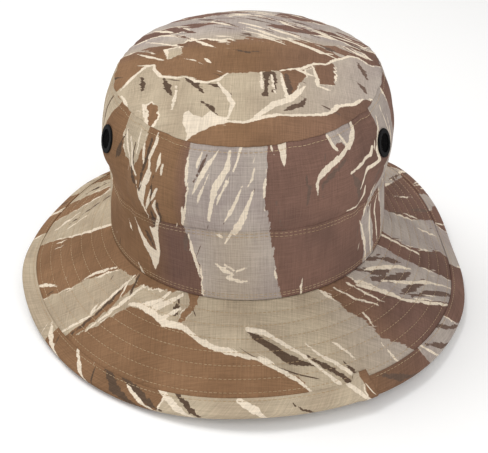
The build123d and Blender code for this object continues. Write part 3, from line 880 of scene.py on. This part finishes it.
crown_front_layout = [
    ("brown", [(-18.7, 99), (-19.4, 80), (-18.3, 67), (-19.4, 55), (-20.8, 45), (-20, 39), (-17.2, 30),
               (-15.5, 20), (-14.4, -3), (-76, -3), (-73, 30), (-68, 60), (-60, 99)]),
    ("light", [(-53, 99), (-40, 99), (-38, 84), (-39.5, 74), (-42, 66), (-48, 70), (-51, 80)]),
    ("brown", [(9.6, 99), (9.4, 87), (7.8, 73), (7, 65), (9.4, 50), (10, 40), (11.7, 25), (12.8, 14),
               (15, -3), (53, -3), (52.5, 12), (50.5, 25), (53, 36), (60, 42), (66, 50), (63, 64),
               (58, 74), (58, 86), (60, 99)]),
    ("light", [(33, 99), (33, 88), (34.5, 82.5), (38, 84.5), (40.5, 79.5), (44, 84), (46.5, 89), (47, 99)]),
    ("brown", [(57, 36), (60, 20), (62, -3), (71, -3), (70, 20), (66, 40)]),
    ("brown", [(76, 99), (80, 60), (78, 20), (82, -3), (95, -3), (95, 99)]),
    ("brown", [(-96, 99), (-88, 70), (-92, 40), (-96, 20)]),
    ("dark", [(-33.5, 47, 0.4), (-33.6, 41, 1.6), (-33, 35, 0.5)]),
    ("dark", [(41, 66, 0.5), (44, 58, 2.2), (46, 50, 1.4), (45, 44, 0.3)]),
    ("dark", [(22, 73, 0.4), (23, 66, 1.3), (22, 58, 0.3)]),
    ("cream", [(-8.3, 87, 0.4), (-11.7, 80, 1.0), (-13.9, 73, 1.1), (-16.3, 65, 0.4)]),
    ("cream", [(-11, 76, 0.3), (-13.9, 64, 0.7), (-14.5, 60, 0.2)]),
    ("cream", [(-4.4, 86, 0.9), (-5, 79, 1.5), (-8.3, 71, 1.9), (-9.4, 65, 1.3), (-10.8, 51, 0.5)]),
    ("cream", [(-3.9, 76, 0.3), (-7.2, 65, 0.8), (-8, 61, 0.2)]),
    ("cream", [(0.2, 71, 0.3), (-1.6, 64, 0.9), (-3.6, 57, 1.0), (-5.6, 51, 0.4)]),
    ("cream", [(-4.6, 76, 0.2), (-5.8, 71, 0.6), (-6.6, 67, 0.2)]),
    ("cream", [(3.9, 69, 0.3), (2.6, 63, 0.9), (0.8, 55, 1.5), (-1.2, 48, 2.2), (-2.4, 43.5, 1.6)]),
    ("cream", [(-3, 45, 0.6), (-4.6, 40, 0.9), (-6, 36, 0.3)]),
    ("cream", [(-14.2, 85, 0.5), (-15, 81, 1.0), (-15.2, 77, 0.3)]),
    ("cream", [(-0.5, 88, 0.8), (-1.5, 83, 0.6), (-3, 78, 0.2)]),
    ("cream", [(4.5, 80, 0.2), (3.5, 74, 0.8), (1.5, 70, 0.3)]),
    ("cream", [(-8.6, 42, 0.7), (-7.4, 41, 1.0), (-6.4, 40, 0.4)]),
    ("cream", [(-9.4, 23, 0.5), (-6, 19, 1.4), (-3, 17, 0.6), (-5, 14.5, 1.2), (-0.5, 12.5, 1.0),
               (2.2, 13, 0.4)]),
    ("cream", [(2, 22, 0.4), (-2, 19, 0.8), (-6, 23, 0.3)]),
    ("cream", [(-19.8, 57, 0.3), (-19.8, 50, 1.1), (-20.8, 44, 0.5)]),
    ("cream", [(-19, 78, 0.3), (-18.4, 73, 0.9), (-18.5, 69, 0.3)]),
    ("cream", [(8.4, 79, 0.3), (7.6, 71, 1.0), (7.3, 64, 0.4)]),
    ("cream", [(-19, 40), (-15.8, 21), (-15.2, 12), (-18.4, 28)]),
    ("dark", [(-35.8, 86, 0.4), (-35.4, 77, 0.8), (-36.6, 68, 0.7), (-38, 58, 0.9), (-38.6, 48, 0.3)]),
    ("dark", [(-41, 72, 0.5), (-41.5, 64, 1.1), (-39, 56, 0.3)]),
    ("dark", [(-29.6, 54, 0.4), (-29.4, 46, 0.8), (-30.2, 40, 0.5)]),
    ("dark", [(-19.8, 38, 0.8), (-20.4, 33, 1.3), (-20, 28, 0.3)]),
    ("cream", [(-36, 62, 0.3), (-37.8, 55, 0.9), (-38.2, 47, 0.3)]),
    ("cream", [(-39.5, 62, 0.3), (-38.8, 54, 0.8), (-37, 46, 0.9), (-36.4, 40, 0.3)]),
    ("cream", [(-32.6, 70, 0.3), (-33.2, 66, 0.8), (-34.6, 62, 0.3)]),
    ("cream", [(-29.6, 63, 0.3), (-31, 58, 0.9), (-32.6, 54, 0.3)]),
    ("dark", [(-43, 80, 0.4), (-42, 71, 1.0), (-41.8, 62, 0.4)]),
    ("dark", [(-31.5, 69, 0.4), (-32, 60, 0.9), (-33, 52, 0.3)]),
    ("dark", [(-12.5, 84, 0.2), (-14.6, 77, 0.5), (-16.4, 71, 0.2)]),
    ("dark", [(-0.6, 67, 0.2), (-4.2, 56, 0.5), (-5.8, 50, 0.2)]),
    ("dark", [(11.5, 62, 0.3), (13, 50, 0.5), (14, 44, 0.2)]),
    ("cream", [(-28.4, 76, 0.3), (-28.6, 73, 0.7), (-28.2, 70, 0.3)]),
    ("cream", [(-30.4, 81, 0.3), (-30, 76, 1.2), (-30.6, 71, 0.3)]),
    ("cream", [(-33.9, 88, 0.6), (-33.3, 84, 1.0), (-34.4, 77, 0.9), (-33.7, 71, 1.1), (-35, 65, 1.3),
               (-35.5, 59, 1.4), (-37.2, 51, 1.2), (-37.2, 44, 0.3)]),
    ("cream", [(-38.3, 82, 0.8), (-37.4, 78, 0.9), (-36.7, 73, 0.3)]),
    ("cream", [(-32.2, 61, 0.3), (-33.9, 53, 1.1), (-36, 47, 0.4)]),
    ("cream", [(-30.5, 56, 0.3), (-31.7, 51, 1.0), (-30.5, 45, 0.8), (-31.9, 40, 1.0), (-32.8, 25, 0.4)]),
    ("cream", [(-46, 36.5), (-40.5, 27), (-37, 22), (-33.2, 20.5), (-34.2, 27), (-36, 34.5), (-33.2, 36),
               (-31.6, 38.5), (-31.7, 20), (-33, 12), (-34.6, 7), (-36, 12.5), (-38.6, 18), (-42, 25)]),
    ("dark", [(-39, 31, 0.6), (-36.5, 27, 1.7), (-34.5, 22, 0.4)]),
    ("cream", [(-46.7, 81, 0.3), (-43.3, 72, 1.2), (-39.4, 65, 0.4)]),
    ("cream", [(-50, 84, 0.3), (-47, 75, 0.8), (-45, 69, 0.3)]),
    ("cream", [(-42.5, 88, 0.4), (-41, 80, 1.0), (-40.5, 74, 0.3)]),
    ("cream", [(-50, 29, 0.3), (-48, 26, 1.0), (-47, 24, 0.3)]),
    ("cream", [(-44, 5, 0.5), (-42, 1, 1.2), (-40, -2, 0.6)]),
    ("cream", [(13, 89), (16.8, 89), (16, 84), (14.8, 79), (13.6, 83)]),
    ("cream", [(10.6, 89, 0.5), (11.2, 86, 0.6), (11.4, 84, 0.2)]),
    ("cream", [(33.4, 88, 0.7), (34.6, 83, 1.0), (36.5, 80, 0.3)]),
    ("cream", [(38, 88, 0.4), (39.5, 84, 0.9), (41, 80, 0.5)]),
    ("cream", [(46.5, 88, 0.6), (44.5, 83.5, 1.1), (41, 79.5, 0.8)]),
    ("cream", [(43.5, 83, 0.8), (38.3, 79, 1.2), (31.7, 75, 1.4), (27.2, 71.5, 1.5), (25.7, 68, 1.0),
               (25.9, 62, 0.3)]),
    ("dark", [(39, 76, 0.3), (33, 71.5, 1.2), (28, 67, 0.9), (27.5, 60, 0.3)]),
    ("cream", [(40, 67.5, 0.4), (46, 69, 1.1), (51, 70.5, 1.2), (52.5, 75, 0.5)]),
    ("cream", [(60.5, 87, 0.6), (56.7, 79, 0.9), (54.4, 72, 1.0), (55.5, 66, 1.2), (49.4, 62.5, 1.3),
               (47.2, 59, 1.0), (45.5, 55, 0.3)]),
    ("cream", [(50, 54, 0.3), (50.5, 47, 1.1), (48.9, 42, 0.8), (44, 43.2, 1.0), (40.5, 43.5, 0.4)]),
    ("cream", [(22.4, 11, 0.3), (21.8, 5, 0.9), (22, -1, 0.5)]),
    ("cream", [(50.5, 30, 0.3), (52, 22, 0.9), (53.5, 14, 0.9), (55, 0, 0.7)]),
    ("cream", [(59, 34, 0.3), (57, 22, 1.1), (58, 10, 0.9), (60, -1, 0.4)]),
    ("cream", [(66, 36, 0.4), (63, 26, 0.9), (64, 14, 0.8), (66, 4, 0.3)]),
    ("dark", [(56, 60, 0.4), (58, 52, 1.3), (57, 45, 0.4)]),
    ("cream", [(68, 88, 0.4), (66, 78, 1.0), (69, 66, 1.1), (67, 54, 0.4)]),
    ("cream", [(73, 80, 0.3), (74, 66, 1.0), (72, 50, 0.9), (74, 36, 0.3)]),
    ("cream", [(-66, 60, 0.3), (-68, 50, 1.0), (-71, 42, 0.9), (-74, 28, 0.4)]),
    ("cream", [(-78, 88, 0.5), (-75, 70, 1.1), (-80, 50, 0.9), (-84, 30, 0.5)]),
    ("dark", [(-70, 90, 0.5), (-72, 76, 1.4), (-75, 62, 0.5)]),
]


def on_crown_chart(point):
    """A layout's point, given as degrees round and millimetres up, on the crown's chart."""
    return (point[0] * crown_mm_per_degree, *point[1:])


crown_back_box = (92 * crown_mm_per_degree, -2, 262 * crown_mm_per_degree, 98)
crown_back_layout = wild_stripes(11, crown_back_box, 10, 0.15)


def crown_cool_shade(angle, height):
    """Painted light on the crown: the print is warm at the wearer's right, under the key light, and on the
    band's grey stripe, and painted a cooler grey as shade towards the other side.
    """
    on_band = height < band_top(angle) * 1000 + 0.05
    cool = np.clip((angle + np.where(on_band, 38, 24)) / np.where(on_band, 12, 6), 0, 1)
    cool = cool - 0.5 * on_band * np.exp(-((angle + 3) / 10) ** 2)
    return cool * np.clip((230 - angle) / 40, 0, 1)


def crown_panel(row, half, low, high, columns, kept=None):
    """A panel of the crown's side between two heights over the brim seam, both by angle."""
    angles = np.linspace(*halves[half], 400)[:, None]
    share = np.linspace(0, 1, columns)[None, :]
    heights = low(angles) + (high(angles) - low(angles)) * share
    outer = crown_place(angles, heights, 0)
    inner = crown_place(angles, heights, cloth)
    name = f"{row}_{half}"
    piece, source = cloth_shell(name, outer, inner, kept(outer) if kept else None)
    angle_at, height_at = grid_places(angles, heights * 1000)
    chart = np.stack([angle_at * crown_mm_per_degree, height_at], -1)
    if half == "front":
        fields = stamp(crown_front_layout, chart, on_crown_chart)
    else:
        fields = stamp(crown_back_layout, chart)
    flow = (chart[:, 0] - 0.35 * chart[:, 1], chart[:, 1])
    print_on(piece, source, fields, chart.T, flow, crown_cool_shade(angle_at, height_at))
    finish_cloth(piece, name)


for half in halves:
    crown_panel(
        "crown_band", half, lambda angle: layer_gap + 0 * angle, band_top, 46
    )

# ---------------------------------------------------------------------------------------------
# Upper crown. Two printed panels that swell over the band and draw in to the tip, with a punched
# hole for each vent.


def clear_of_vents(points):
    """The squares of a panel's grid that the vent punches leave."""
    middle = (points[:-1, :-1] + points[1:, 1:]) / 2
    kept = np.ones(middle.shape[:2], bool)
    for frame_of_vent in vent_frames.values():
        reach, rise = from_vent(middle, frame_of_vent)
        kept &= (reach > vent_hole_radius + cloth) | (rise < far_side)
    return kept


for half in halves:
    crown_panel(
        "crown_side", half, lambda angle: band_top(angle) + layer_gap,
        lambda angle: tip_z(angle) - seam_z, 62, clear_of_vents,
    )

# ---------------------------------------------------------------------------------------------
# Crown tip. The domed oval top, one printed piece sewn round its rim to the two side panels, and
# slack enough to puff up a little at the back.

tip_rise = 0.0120
tip_puff = 0.0035
tip_half_chart = (77.5, 90.5)    # millimetres of cloth from its middle to the rim
across = np.linspace(-1, 1, 200)
side_u, side_v = np.meshgrid(across, across, indexing="ij")
disc_x = side_u * np.sqrt(1 - side_v ** 2 / 2)
disc_y = side_v * np.sqrt(1 - side_u ** 2 / 2)
tip_radius = np.minimum(np.hypot(disc_x, disc_y), 1)
tip_angle = np.degrees(np.arctan2(disc_x, -disc_y))
rim_height = tip_z(tip_angle) - seam_z
rim_dent = crown_wave(tip_angle, rim_height) * tip_radius
tip_turn = np.radians(tip_angle)
tip_half_length = tip_half_width + oval_step
tip_x = middle_x + (tip_half_width * tip_radius + rim_dent) * np.sin(tip_turn)
tip_y = middle_y - (tip_half_length * tip_radius + rim_dent) * np.cos(tip_turn)
ring_z = seam_z + tip_height + tip_lean * disc_y + layer_gap
hollow = 1 - tip_radius ** 2
dents = 0.0007 * np.sin(disc_x * 5 + disc_y * 3 + 1) + 0.0004 * np.sin(disc_x * 3 - disc_y * 9)
puffed = tip_rise * hollow + hollow * (tip_puff * (0.45 + 0.55 * disc_y) + dents)
rim_roll = np.exp(-((1 - tip_radius) * tip_half_width / 0.0012) ** 2)
tip_outer = np.stack([tip_x, tip_y, ring_z + cloth + puffed - 0.00045 * rim_roll], -1)
tip_inner = np.stack([tip_x, tip_y, ring_z + puffed], -1)
piece, source = cloth_shell("crown_tip", tip_outer, tip_inner)
chart = np.stack([disc_x * tip_half_chart[0], disc_y * tip_half_chart[1]], -1).reshape(-1, 2)
tip_layout = [
    ("brown", [(-34, -95), (-28.7, -84), (-22.5, -78), (-15, -74), (-7.5, -73), (0, -74), (7.5, -70.5),
               (17.5, -68), (27.5, -66.7), (40, -63.6), (46, -60.5), (50, -54), (57.5, -49), (63.7, -41.7),
               (80, -36), (80, -95)]),
    ("brown", [(-80, -38), (-70, -31), (-63.7, -21), (-58.7, -11), (-53.7, -11), (-51, -20), (-47, -27),
               (-38.7, -31), (-33.7, -31), (-27.5, -36), (-21, -38), (-15, -36), (-10, -31), (5, -31),
               (17.5, -29), (20, -31),
               (23.7, -53), (33, -31), (31, -24), (38, -19), (40, -36), (49, -34), (50, -15), (48, -8),
               (55, -0.5), (58.7, 4.5), (63.7, 5.7), (72, 1), (80, 6), (80, 22), (58, 20), (44, 12),
               (30, 14), (14, 8), (0, 12), (-16, 8), (-28, 14), (-44, 11), (-60, 16), (-80, 10)]),
    ("light", [(-50, 7), (-40, 8), (-38, -3), (-46, -8)]),
    ("brown", [(-78, 26), (-60, 34), (-44, 30), (-24, 36), (-8, 30), (-20, 44), (-48, 46), (-70, 44)]),
    ("brown", [(8, 34), (26, 28), (44, 30), (66, 24), (74, 34), (50, 42), (26, 42)]),
    ("brown", [(-56, 64), (-34, 60), (-18, 66), (0, 70), (-14, 80), (-36, 78)]),
    ("brown", [(14, 62), (34, 58), (56, 62), (44, 76), (20, 80)]),
    ("cream", [(-28.7, -85, 0.6), (-22.5, -78, 1.2), (-15, -74, 1.0), (-7.5, -72.7, 0.7), (0, -73.7, 1.0),
               (7.5, -70.3, 1.3), (17.5, -67.7, 1.0), (27.5, -66.5, 0.8), (40, -63.3, 1.0), (46, -60, 1.1),
               (50, -53.7, 0.9), (57.5, -48.7, 1.2), (64, -41, 0.6)]),
    ("cream", [(-70, -33, 0.6), (-63.7, -22, 1.3), (-58.7, -12, 1.2), (-53.7, -12, 1.0), (-51, -21, 1.1),
               (-47.5, -28, 1.0), (-38.7, -32, 0.9), (-33.7, -31.6, 0.7), (-27.5, -36.7, 1.0),
               (-21, -39, 0.8), (-15, -36.7, 1.0), (-10, -31, 0.7)]),
    ("cream", [(17.5, -29, 0.4), (25, -25.5, 1.0), (31, -23, 0.9), (38.7, -15, 1.1), (45, -12.6, 0.8),
               (50, -5, 1.0), (55, 0, 0.9), (58.7, 5, 1.0), (63.7, 6.2, 0.8), (69, 2, 0.4)]),
    ("cream", [(6, -69.5, 1.0), (15, -60, 2.2), (23.7, -54.5, 2.2), (28, -48, 1.8), (33, -40, 0.4)]),
    ("dark", [(21, -64, 0.4), (26, -60, 1.6), (30, -57, 1.6), (33, -51, 0.4)]),
    ("dark", [(11, -32, 1.7), (11.6, -42, 1.1), (11, -51, 1.5)]),
    ("dark", [(14.8, -31, 1.5), (16, -40, 1.0), (15.6, -48, 1.1)]),
    ("dark", [(22, -31, 1.0), (24, -44, 1.8), (23.8, -53, 0.6)]),
    ("cream", [(8.4, -31, 0.4), (8.8, -40, 1.2), (9.4, -47, 0.5)]),
    ("cream", [(14.2, -33, 0.4), (15, -42, 0.7), (16.5, -50, 0.4)]),
    ("cream", [(19.2, -31, 0.4), (21, -44, 0.9), (23.5, -54, 0.5)]),
    ("cream", [(37.6, -18, 0.4), (38.4, -28, 1.1), (40, -38, 1.0), (46, -40, 0.6)]),
    ("cream", [(-15, -39, 0.5), (-10, -48, 1.3), (-6, -58, 1.3), (-8, -70, 0.6)]),
    ("dark", [(-21, -40, 0.5), (-14, -42, 1.2), (-8, -50, 0.5)]),
    ("dark", [(-33, -33, 0.8), (-27.5, -39, 1.6), (-22.5, -48, 0.5)]),
    ("dark", [(-23, -55, 0.4), (-17.5, -60, 1.3), (-13.7, -67, 0.5)]),
    ("cream", [(-32, -65), (-29, -62), (-26, -66), (-21, -68), (-17, -63), (-13, -68), (-9, -70),
               (-8, -74), (-15, -75.5), (-22.5, -79.5), (-28, -84), (-29, -77), (-31, -72)]),
    ("brown", [(-80, -38), (-71, -37), (-67, -45), (-65, -57), (-67, -69), (-73, -80), (-84, -70)]),
    ("cream", [(-68.5, -39, 0.5), (-65.5, -47, 0.9), (-64, -57, 0.7), (-65, -66, 0.3)]),
    ("dark", [(-24, -73, 0.3), (-22, -74, 0.9), (-20, -76, 0.3)]),
    ("brown", [(-52.5, -54), (-50, -52), (-46.5, -57), (-45, -63), (-46.5, -70), (-49.5, -72),
               (-51.5, -64)]),
    ("cream", [(-55, -52, 0.6), (-53, -62, 1.0), (-50, -72, 0.6)]),
    ("dark", [(-59, -24, 0.5), (-57, -32, 1.5), (-57, -39, 0.5)]),
    ("dark", [(-46, -31, 0.8), (-43, -40, 2.0), (-40, -48, 0.6)]),
    ("dark", [(63, -1, 0.6), (66, -10, 1.6), (68, -18, 0.5)]),
    ("dark", [(62, -24, 0.5), (65, -29, 1.6), (67, -34, 0.5)]),
    ("cream", [(-38, -40, 0.5), (-37.5, -50, 1.0), (-38, -60, 0.5)]),
    ("cream", [(-24, -13, 0.4), (-22, -17, 1.1), (-20, -20, 0.3)]),
    ("dark", [(-8, -6, 0.4), (0, -10, 1.2), (8, -9, 0.4)]),
    ("cream", [(-36, -10, 0.3), (-30, -14, 0.9), (-25, -20, 0.3)]),
    ("cream", [(34, 4, 0.4), (42, 0, 1.2), (49, 2, 0.4)]),
]
draw_tip = np.random.default_rng(5)
for i in range(95):
    x, y = draw_tip.uniform(-68, 68), draw_tip.uniform(10, 86)
    length, width = draw_tip.uniform(9, 30), draw_tip.uniform(0.6, 1.9)
    slope = draw_tip.uniform(-0.75, -0.35) - 0.35 * (x < -20)
    bow = draw_tip.uniform(-1.5, 1.5)
    points = [
        (x, y, 0.2),
        (x + length / 2, y + slope * length / 2 + bow, width),
        (x + length, y + slope * length, 0.2),
    ]
    tip_layout.append((("cream", "light", "cream", "brown", "light", "dark")[i % 6], points))
flow = (chart[:, 1] + 0.5 * chart[:, 0], chart[:, 0])
# Painted light on the tip: a cooler grey, painted shade, towards the wearer's left and the back.
tip_cool_shade = np.clip(np.maximum(chart[:, 0] / 80, chart[:, 1] / 25), 0, 1)
print_on(piece, source, stamp(tip_layout, chart), chart.T, flow, tip_cool_shade)
finish_cloth(
    piece, "crown_tip",
)

# ---------------------------------------------------------------------------------------------
# Sweatband and seam tapes inside the crown. The sweatband is a soft cotton tape over the brim
# seam; narrow tapes cover the tip seam and the two side seams.

sweat_tape = 0.0010
seam_tape = 0.0005
sweatband_height = 0.0300
side_tape_width = 0.0120
sweat_outer = allowance_inner - layer_gap
sweat_cotton = plain_weave("sweatband_cotton", (150, 138, 108), 700)
tape_cotton = plain_weave("seam_tape_cotton", (172, 158, 128), 900)


def tape(name, material, outer, inner, flat, ring=False):
    """A plain tape between two grids of points, seen from inside the hat."""
    piece, source = cloth_shell(name, inner[:, ::-1], outer[:, ::-1], ring=ring)
    rows, columns = outer.shape[:2]
    length_at = np.arange(rows)[:, None] * flat[0] / rows * 1000
    width_at = np.arange(columns)[None, :] * flat[1] / columns * 1000
    store_run(piece, source, "weave", *grid_places(length_at, width_at))
    piece.data.materials.append(material)
    finish_cloth(piece, name)


angles = np.linspace(0, 360, 720, endpoint=False)[:, None]
heights = np.linspace(layer_gap, layer_gap + sweatband_height, 26)[None, :]
swell = crown_wave(angles, heights) - 0.0002 * np.abs(np.sin(np.radians(angles) * 45))
sweat_face = sweat_outer + np.minimum(swell, 0)
tape(
    "sweatband", sweat_cotton,
    oval(angles, sweat_face, seam_z + heights),
    oval(angles, sweat_face - sweat_tape, seam_z + heights),
    (0.570, 0.030), ring=True,
)


def crown_tape(name, angles, heights, flat, ring=False):
    """A tape sewn flat to the inside of the crown."""
    outer = crown_place(angles, heights, cloth + layer_gap)
    inner = crown_place(angles, heights, cloth + layer_gap + seam_tape)
    tape(name, tape_cotton, outer, inner, flat, ring)


share = np.linspace(0, 1, 10)[None, :]
heights = tip_z(angles) - seam_z - layer_gap - tip_tape_width * (1 - share)
crown_tape(
    "tip_seam_tape", angles, heights, (0.560, 0.010), ring=True
)
half_turn = np.degrees(side_tape_width / 2 / (base_half_width + bulge_swell + oval_step))
share = np.linspace(0, 1, 40)[None, :]
for side, middle in (("left", 90.0), ("right", -90.0)):
    angles = np.linspace(middle - half_turn, middle + half_turn, 14)[:, None]
    foot = band_height + layer_gap
    top = tip_z(angles) - seam_z - tip_tape_width - 2 * layer_gap
    crown_tape(f"side_seam_tape_{side}", angles, foot + (top - foot) * share, (0.012, 0.044))

# ---------------------------------------------------------------------------------------------
# Vents. Pressed brass eyelets in worn black enamel, each closed behind the cloth over a washer,
# with a disc of woven black wire held in its barrel.

screen_radius = 0.0053
screen_rise = 0.0003
wire_radius = 0.00013
wire_spacing = 0.00075
strand_sides = 4


def black_enamel():
    finish = Finish("black_enamel", 0.7)
    place = finish.node("ShaderNodeTexCoord", "Object")
    worn = finish.noise(place, 900.0, 4.0, 0.6)
    colour = finish.mix(finish.ramp(worn, 0.58, 0.74), linear(9, 8, 9), linear(24, 22, 21))
    return finish.done(colour, finish.noise(place, 2600.0, 2.0), 0.00004)


enamel = black_enamel()
for node in frame["nodes"].values():
    if node.name.startswith(("vent_eyelet", "vent_washer")):
        node.data.materials.clear()
        node.data.materials.append(enamel)


def strands(name, centres, normals, radii):
    """Round strands along rows of points, tapering by radii, each with its own up direction."""
    count, steps = centres.shape[:2]
    run = np.gradient(centres, axis=1)
    run /= np.linalg.norm(run, axis=-1, keepdims=True)
    across = np.cross(run, normals)
    across /= np.linalg.norm(across, axis=-1, keepdims=True)
    up = np.cross(across, run)
    turns = np.arange(strand_sides) * 2 * pi / strand_sides
    ring = across[:, :, None] * np.cos(turns)[:, None] + up[:, :, None] * np.sin(turns)[:, None]
    points = centres[:, :, None] + ring * radii[None, :, None, None]
    number = np.arange(count * steps * strand_sides).reshape(count, steps, strand_sides)
    following = np.roll(number, -1, axis=2)
    walls = [number[:, :-1], following[:, :-1], following[:, 1:], number[:, 1:]]
    walls = np.stack(walls, -1).reshape(-1, 4)
    ends = np.concatenate([number[:, 0, ::-1], number[:, -1]])
    piece = made_of_squares(name, points.reshape(-1, 3), np.concatenate([walls, ends]))
    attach(piece, "root")
    return piece


wire_rows = np.arange(-6, 7) * wire_spacing
wire_steps = np.linspace(-1, 1, 33)
for place, (centre, along, up, outward) in vent_frames.items():
    lines = []
    for first, second, phase in ((along, up, 0), (up, along, 1)):
        for i, row in enumerate(wire_rows):
            reach = np.sqrt(screen_radius ** 2 - row ** 2) * wire_steps
            weave_over = np.cos(pi * (reach / wire_spacing + i + phase)) * wire_radius
            line = centre + first * row + second * reach[:, None]
            lines.append(line + outward * (screen_rise + weave_over)[:, None])
    lines = np.array(lines)
    normals = np.broadcast_to(outward, lines.shape)
    radii = np.full(len(wire_steps), wire_radius)
    screen = strands(f"vent_mesh_{place}", lines, normals, radii)
    screen.data.materials.append(enamel)
    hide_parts(f"vent_screen_{place}")

# ---------------------------------------------------------------------------------------------
# Stitching. Sand-coloured cotton thread in single stitches: the quilting rows through the brim,
# the binding's row, double rows on the band at both of its seams, and a row under the tip seam.

stitch_length = 0.0021
stitch_pitch = 0.0026
thread_radius = 0.00016


def cotton_thread():
    finish = Finish("cotton_thread", 0.7, 0.2)
    place = finish.node("ShaderNodeTexCoord", "Object")
    faded = finish.noise(place, 60.0, 2.0)
    colour = finish.mix(finish.ramp(faded, 0.35, 0.65), linear(178, 150, 114), linear(200, 176, 142))
    return finish.done(colour, finish.noise(place, 3000.0, 2.0), 0.00005)


thread = cotton_thread()


def stitched(name, rows):
    """One piece of thread for rows given as (place, angles from and to): place(angle, above)."""
    centres, normals = [], []
    for place, start, end in rows:
        angle = np.linspace(start, end, 4000)
        steps = np.diff(place(angle, 0.0), axis=0)
        reach = np.r_[0, np.cumsum(np.linalg.norm(steps, axis=1))]
        middles = np.arange(stitch_pitch, reach[-1] - stitch_pitch, stitch_pitch)
        share = np.linspace(-0.5, 0.5, 5)
        angle_at = np.interp(middles[:, None] + share * stitch_length, reach, angle)
        rise = np.array([-0.00012, 0.00009, 0.00013, 0.00009, -0.00012])
        middle = place(angle_at, rise)
        centres.append(middle)
        normals.append(place(angle_at, rise + 0.001) - middle)
    radii = thread_radius * np.array([0.6, 1, 1, 1, 0.6])
    piece = strands(name, np.concatenate(centres), np.concatenate(normals), radii)
    piece.data.materials.append(thread)


def quilt_line(row, side):
    """A stitch row on the brim: side is 1 for the top face and -1 for the underside."""
    face = 0.0 if side > 0 else under_bottom
    along = quilt_first + quilt_step * row

    def place(angle, above):
        swell = quilting(angle, along + 0 * angle)
        return brim_place(angle, along + 0 * angle, face + side * (swell + above))

    return place


def binding_line(side):
    """The stitch row on the binding, over the edge or under it."""
    face = binding_over if side > 0 else -binding_under
    return lambda angle, above: brim_place(angle, binding_row + 0 * angle, face + side * above)


def crown_line(seam, from_seam):
    """A stitch row on the crown at a height from a seam, whose own height goes by angle."""
    return lambda angle, above: crown_place(angle, seam(angle) + from_seam, -above)


def brim_seam(angle):
    return 0 * angle


def tip_seam(angle):
    return tip_z(angle) - seam_z


for side, name in ((1, "brim_quilting_top"), (-1, "brim_quilting_under")):
    stitched(name, [(quilt_line(row, side), -90, 270) for row in range(quilt_rows)])
stitched("binding_stitching", [(binding_line(side), 32, 384) for side in (1, -1)])
crown_rows = (
    (brim_seam, 0.0022), (brim_seam, 0.0038), (band_top, -0.0016), (band_top, -0.0036),
    (tip_seam, -0.0022),
)
stitched("crown_stitching", [(crown_line(*row), -90, 270) for row in crown_rows])

# ---------------------------------------------------------------------------------------------
# Studio. A pale table on a white background, under a soft box high over the wearer's right and a
# weaker, wider one at the front left.

table_reach = 3
floor_mesh = bpy.data.meshes.new("floor")
low, high = -table_reach, table_reach
corners = [(low, low, 0), (high, low, 0), (high, high, 0), (low, high, 0)]
floor_mesh.from_pydata(corners, [], [(0, 1, 2, 3)])
floor = bpy.data.objects.new("floor", floor_mesh)
scene.collection.objects.link(floor)
floor_finish = Finish("table", 0.9)
floor_finish.shader.inputs["Emission Color"].default_value = (1.0, 1.0, 1.0, 1.0)
floor_finish.shader.inputs["Emission Strength"].default_value = 0.06
floor_mesh.materials.append(floor_finish.done(linear(252, 252, 252)))

world = bpy.data.worlds.new("studio")
scene.world = world
world.use_nodes = True
tree = world.node_tree
sky = tree.nodes["Background"]
sky.inputs["Color"].default_value = (1.0, 0.99, 0.97, 1.0)
sky.inputs["Strength"].default_value = 0.52
white = tree.nodes.new("ShaderNodeBackground")
white.inputs["Color"].default_value = (1.0, 1.0, 1.0, 1.0)
white.inputs["Strength"].default_value = 1.0
rays = tree.nodes.new("ShaderNodeLightPath")
chosen = tree.nodes.new("ShaderNodeMixShader")
tree.links.new(rays.outputs["Is Camera Ray"], chosen.inputs[0])
tree.links.new(sky.outputs[0], chosen.inputs[1])
tree.links.new(white.outputs[0], chosen.inputs[2])
tree.links.new(chosen.outputs[0], tree.nodes["World Output"].inputs[0])


def lamp(name, place, size, power):
    """A square soft box at a place, aimed at the hat."""
    light = bpy.data.lights.new(name, "AREA")
    light.size = size
    light.energy = power
    made = bpy.data.objects.new(name, light)
    made.location = place
    aim = Vector((0, 0, 0.06)) - Vector(place)
    made.rotation_euler = aim.to_track_quat("-Z", "Y").to_euler()
    scene.collection.objects.link(made)


lamp("key_light", (-0.6, 0.3, 1.35), 0.8, 11)
lamp("fill_light", (0.5, -1.0, 0.9), 1.2, 6)
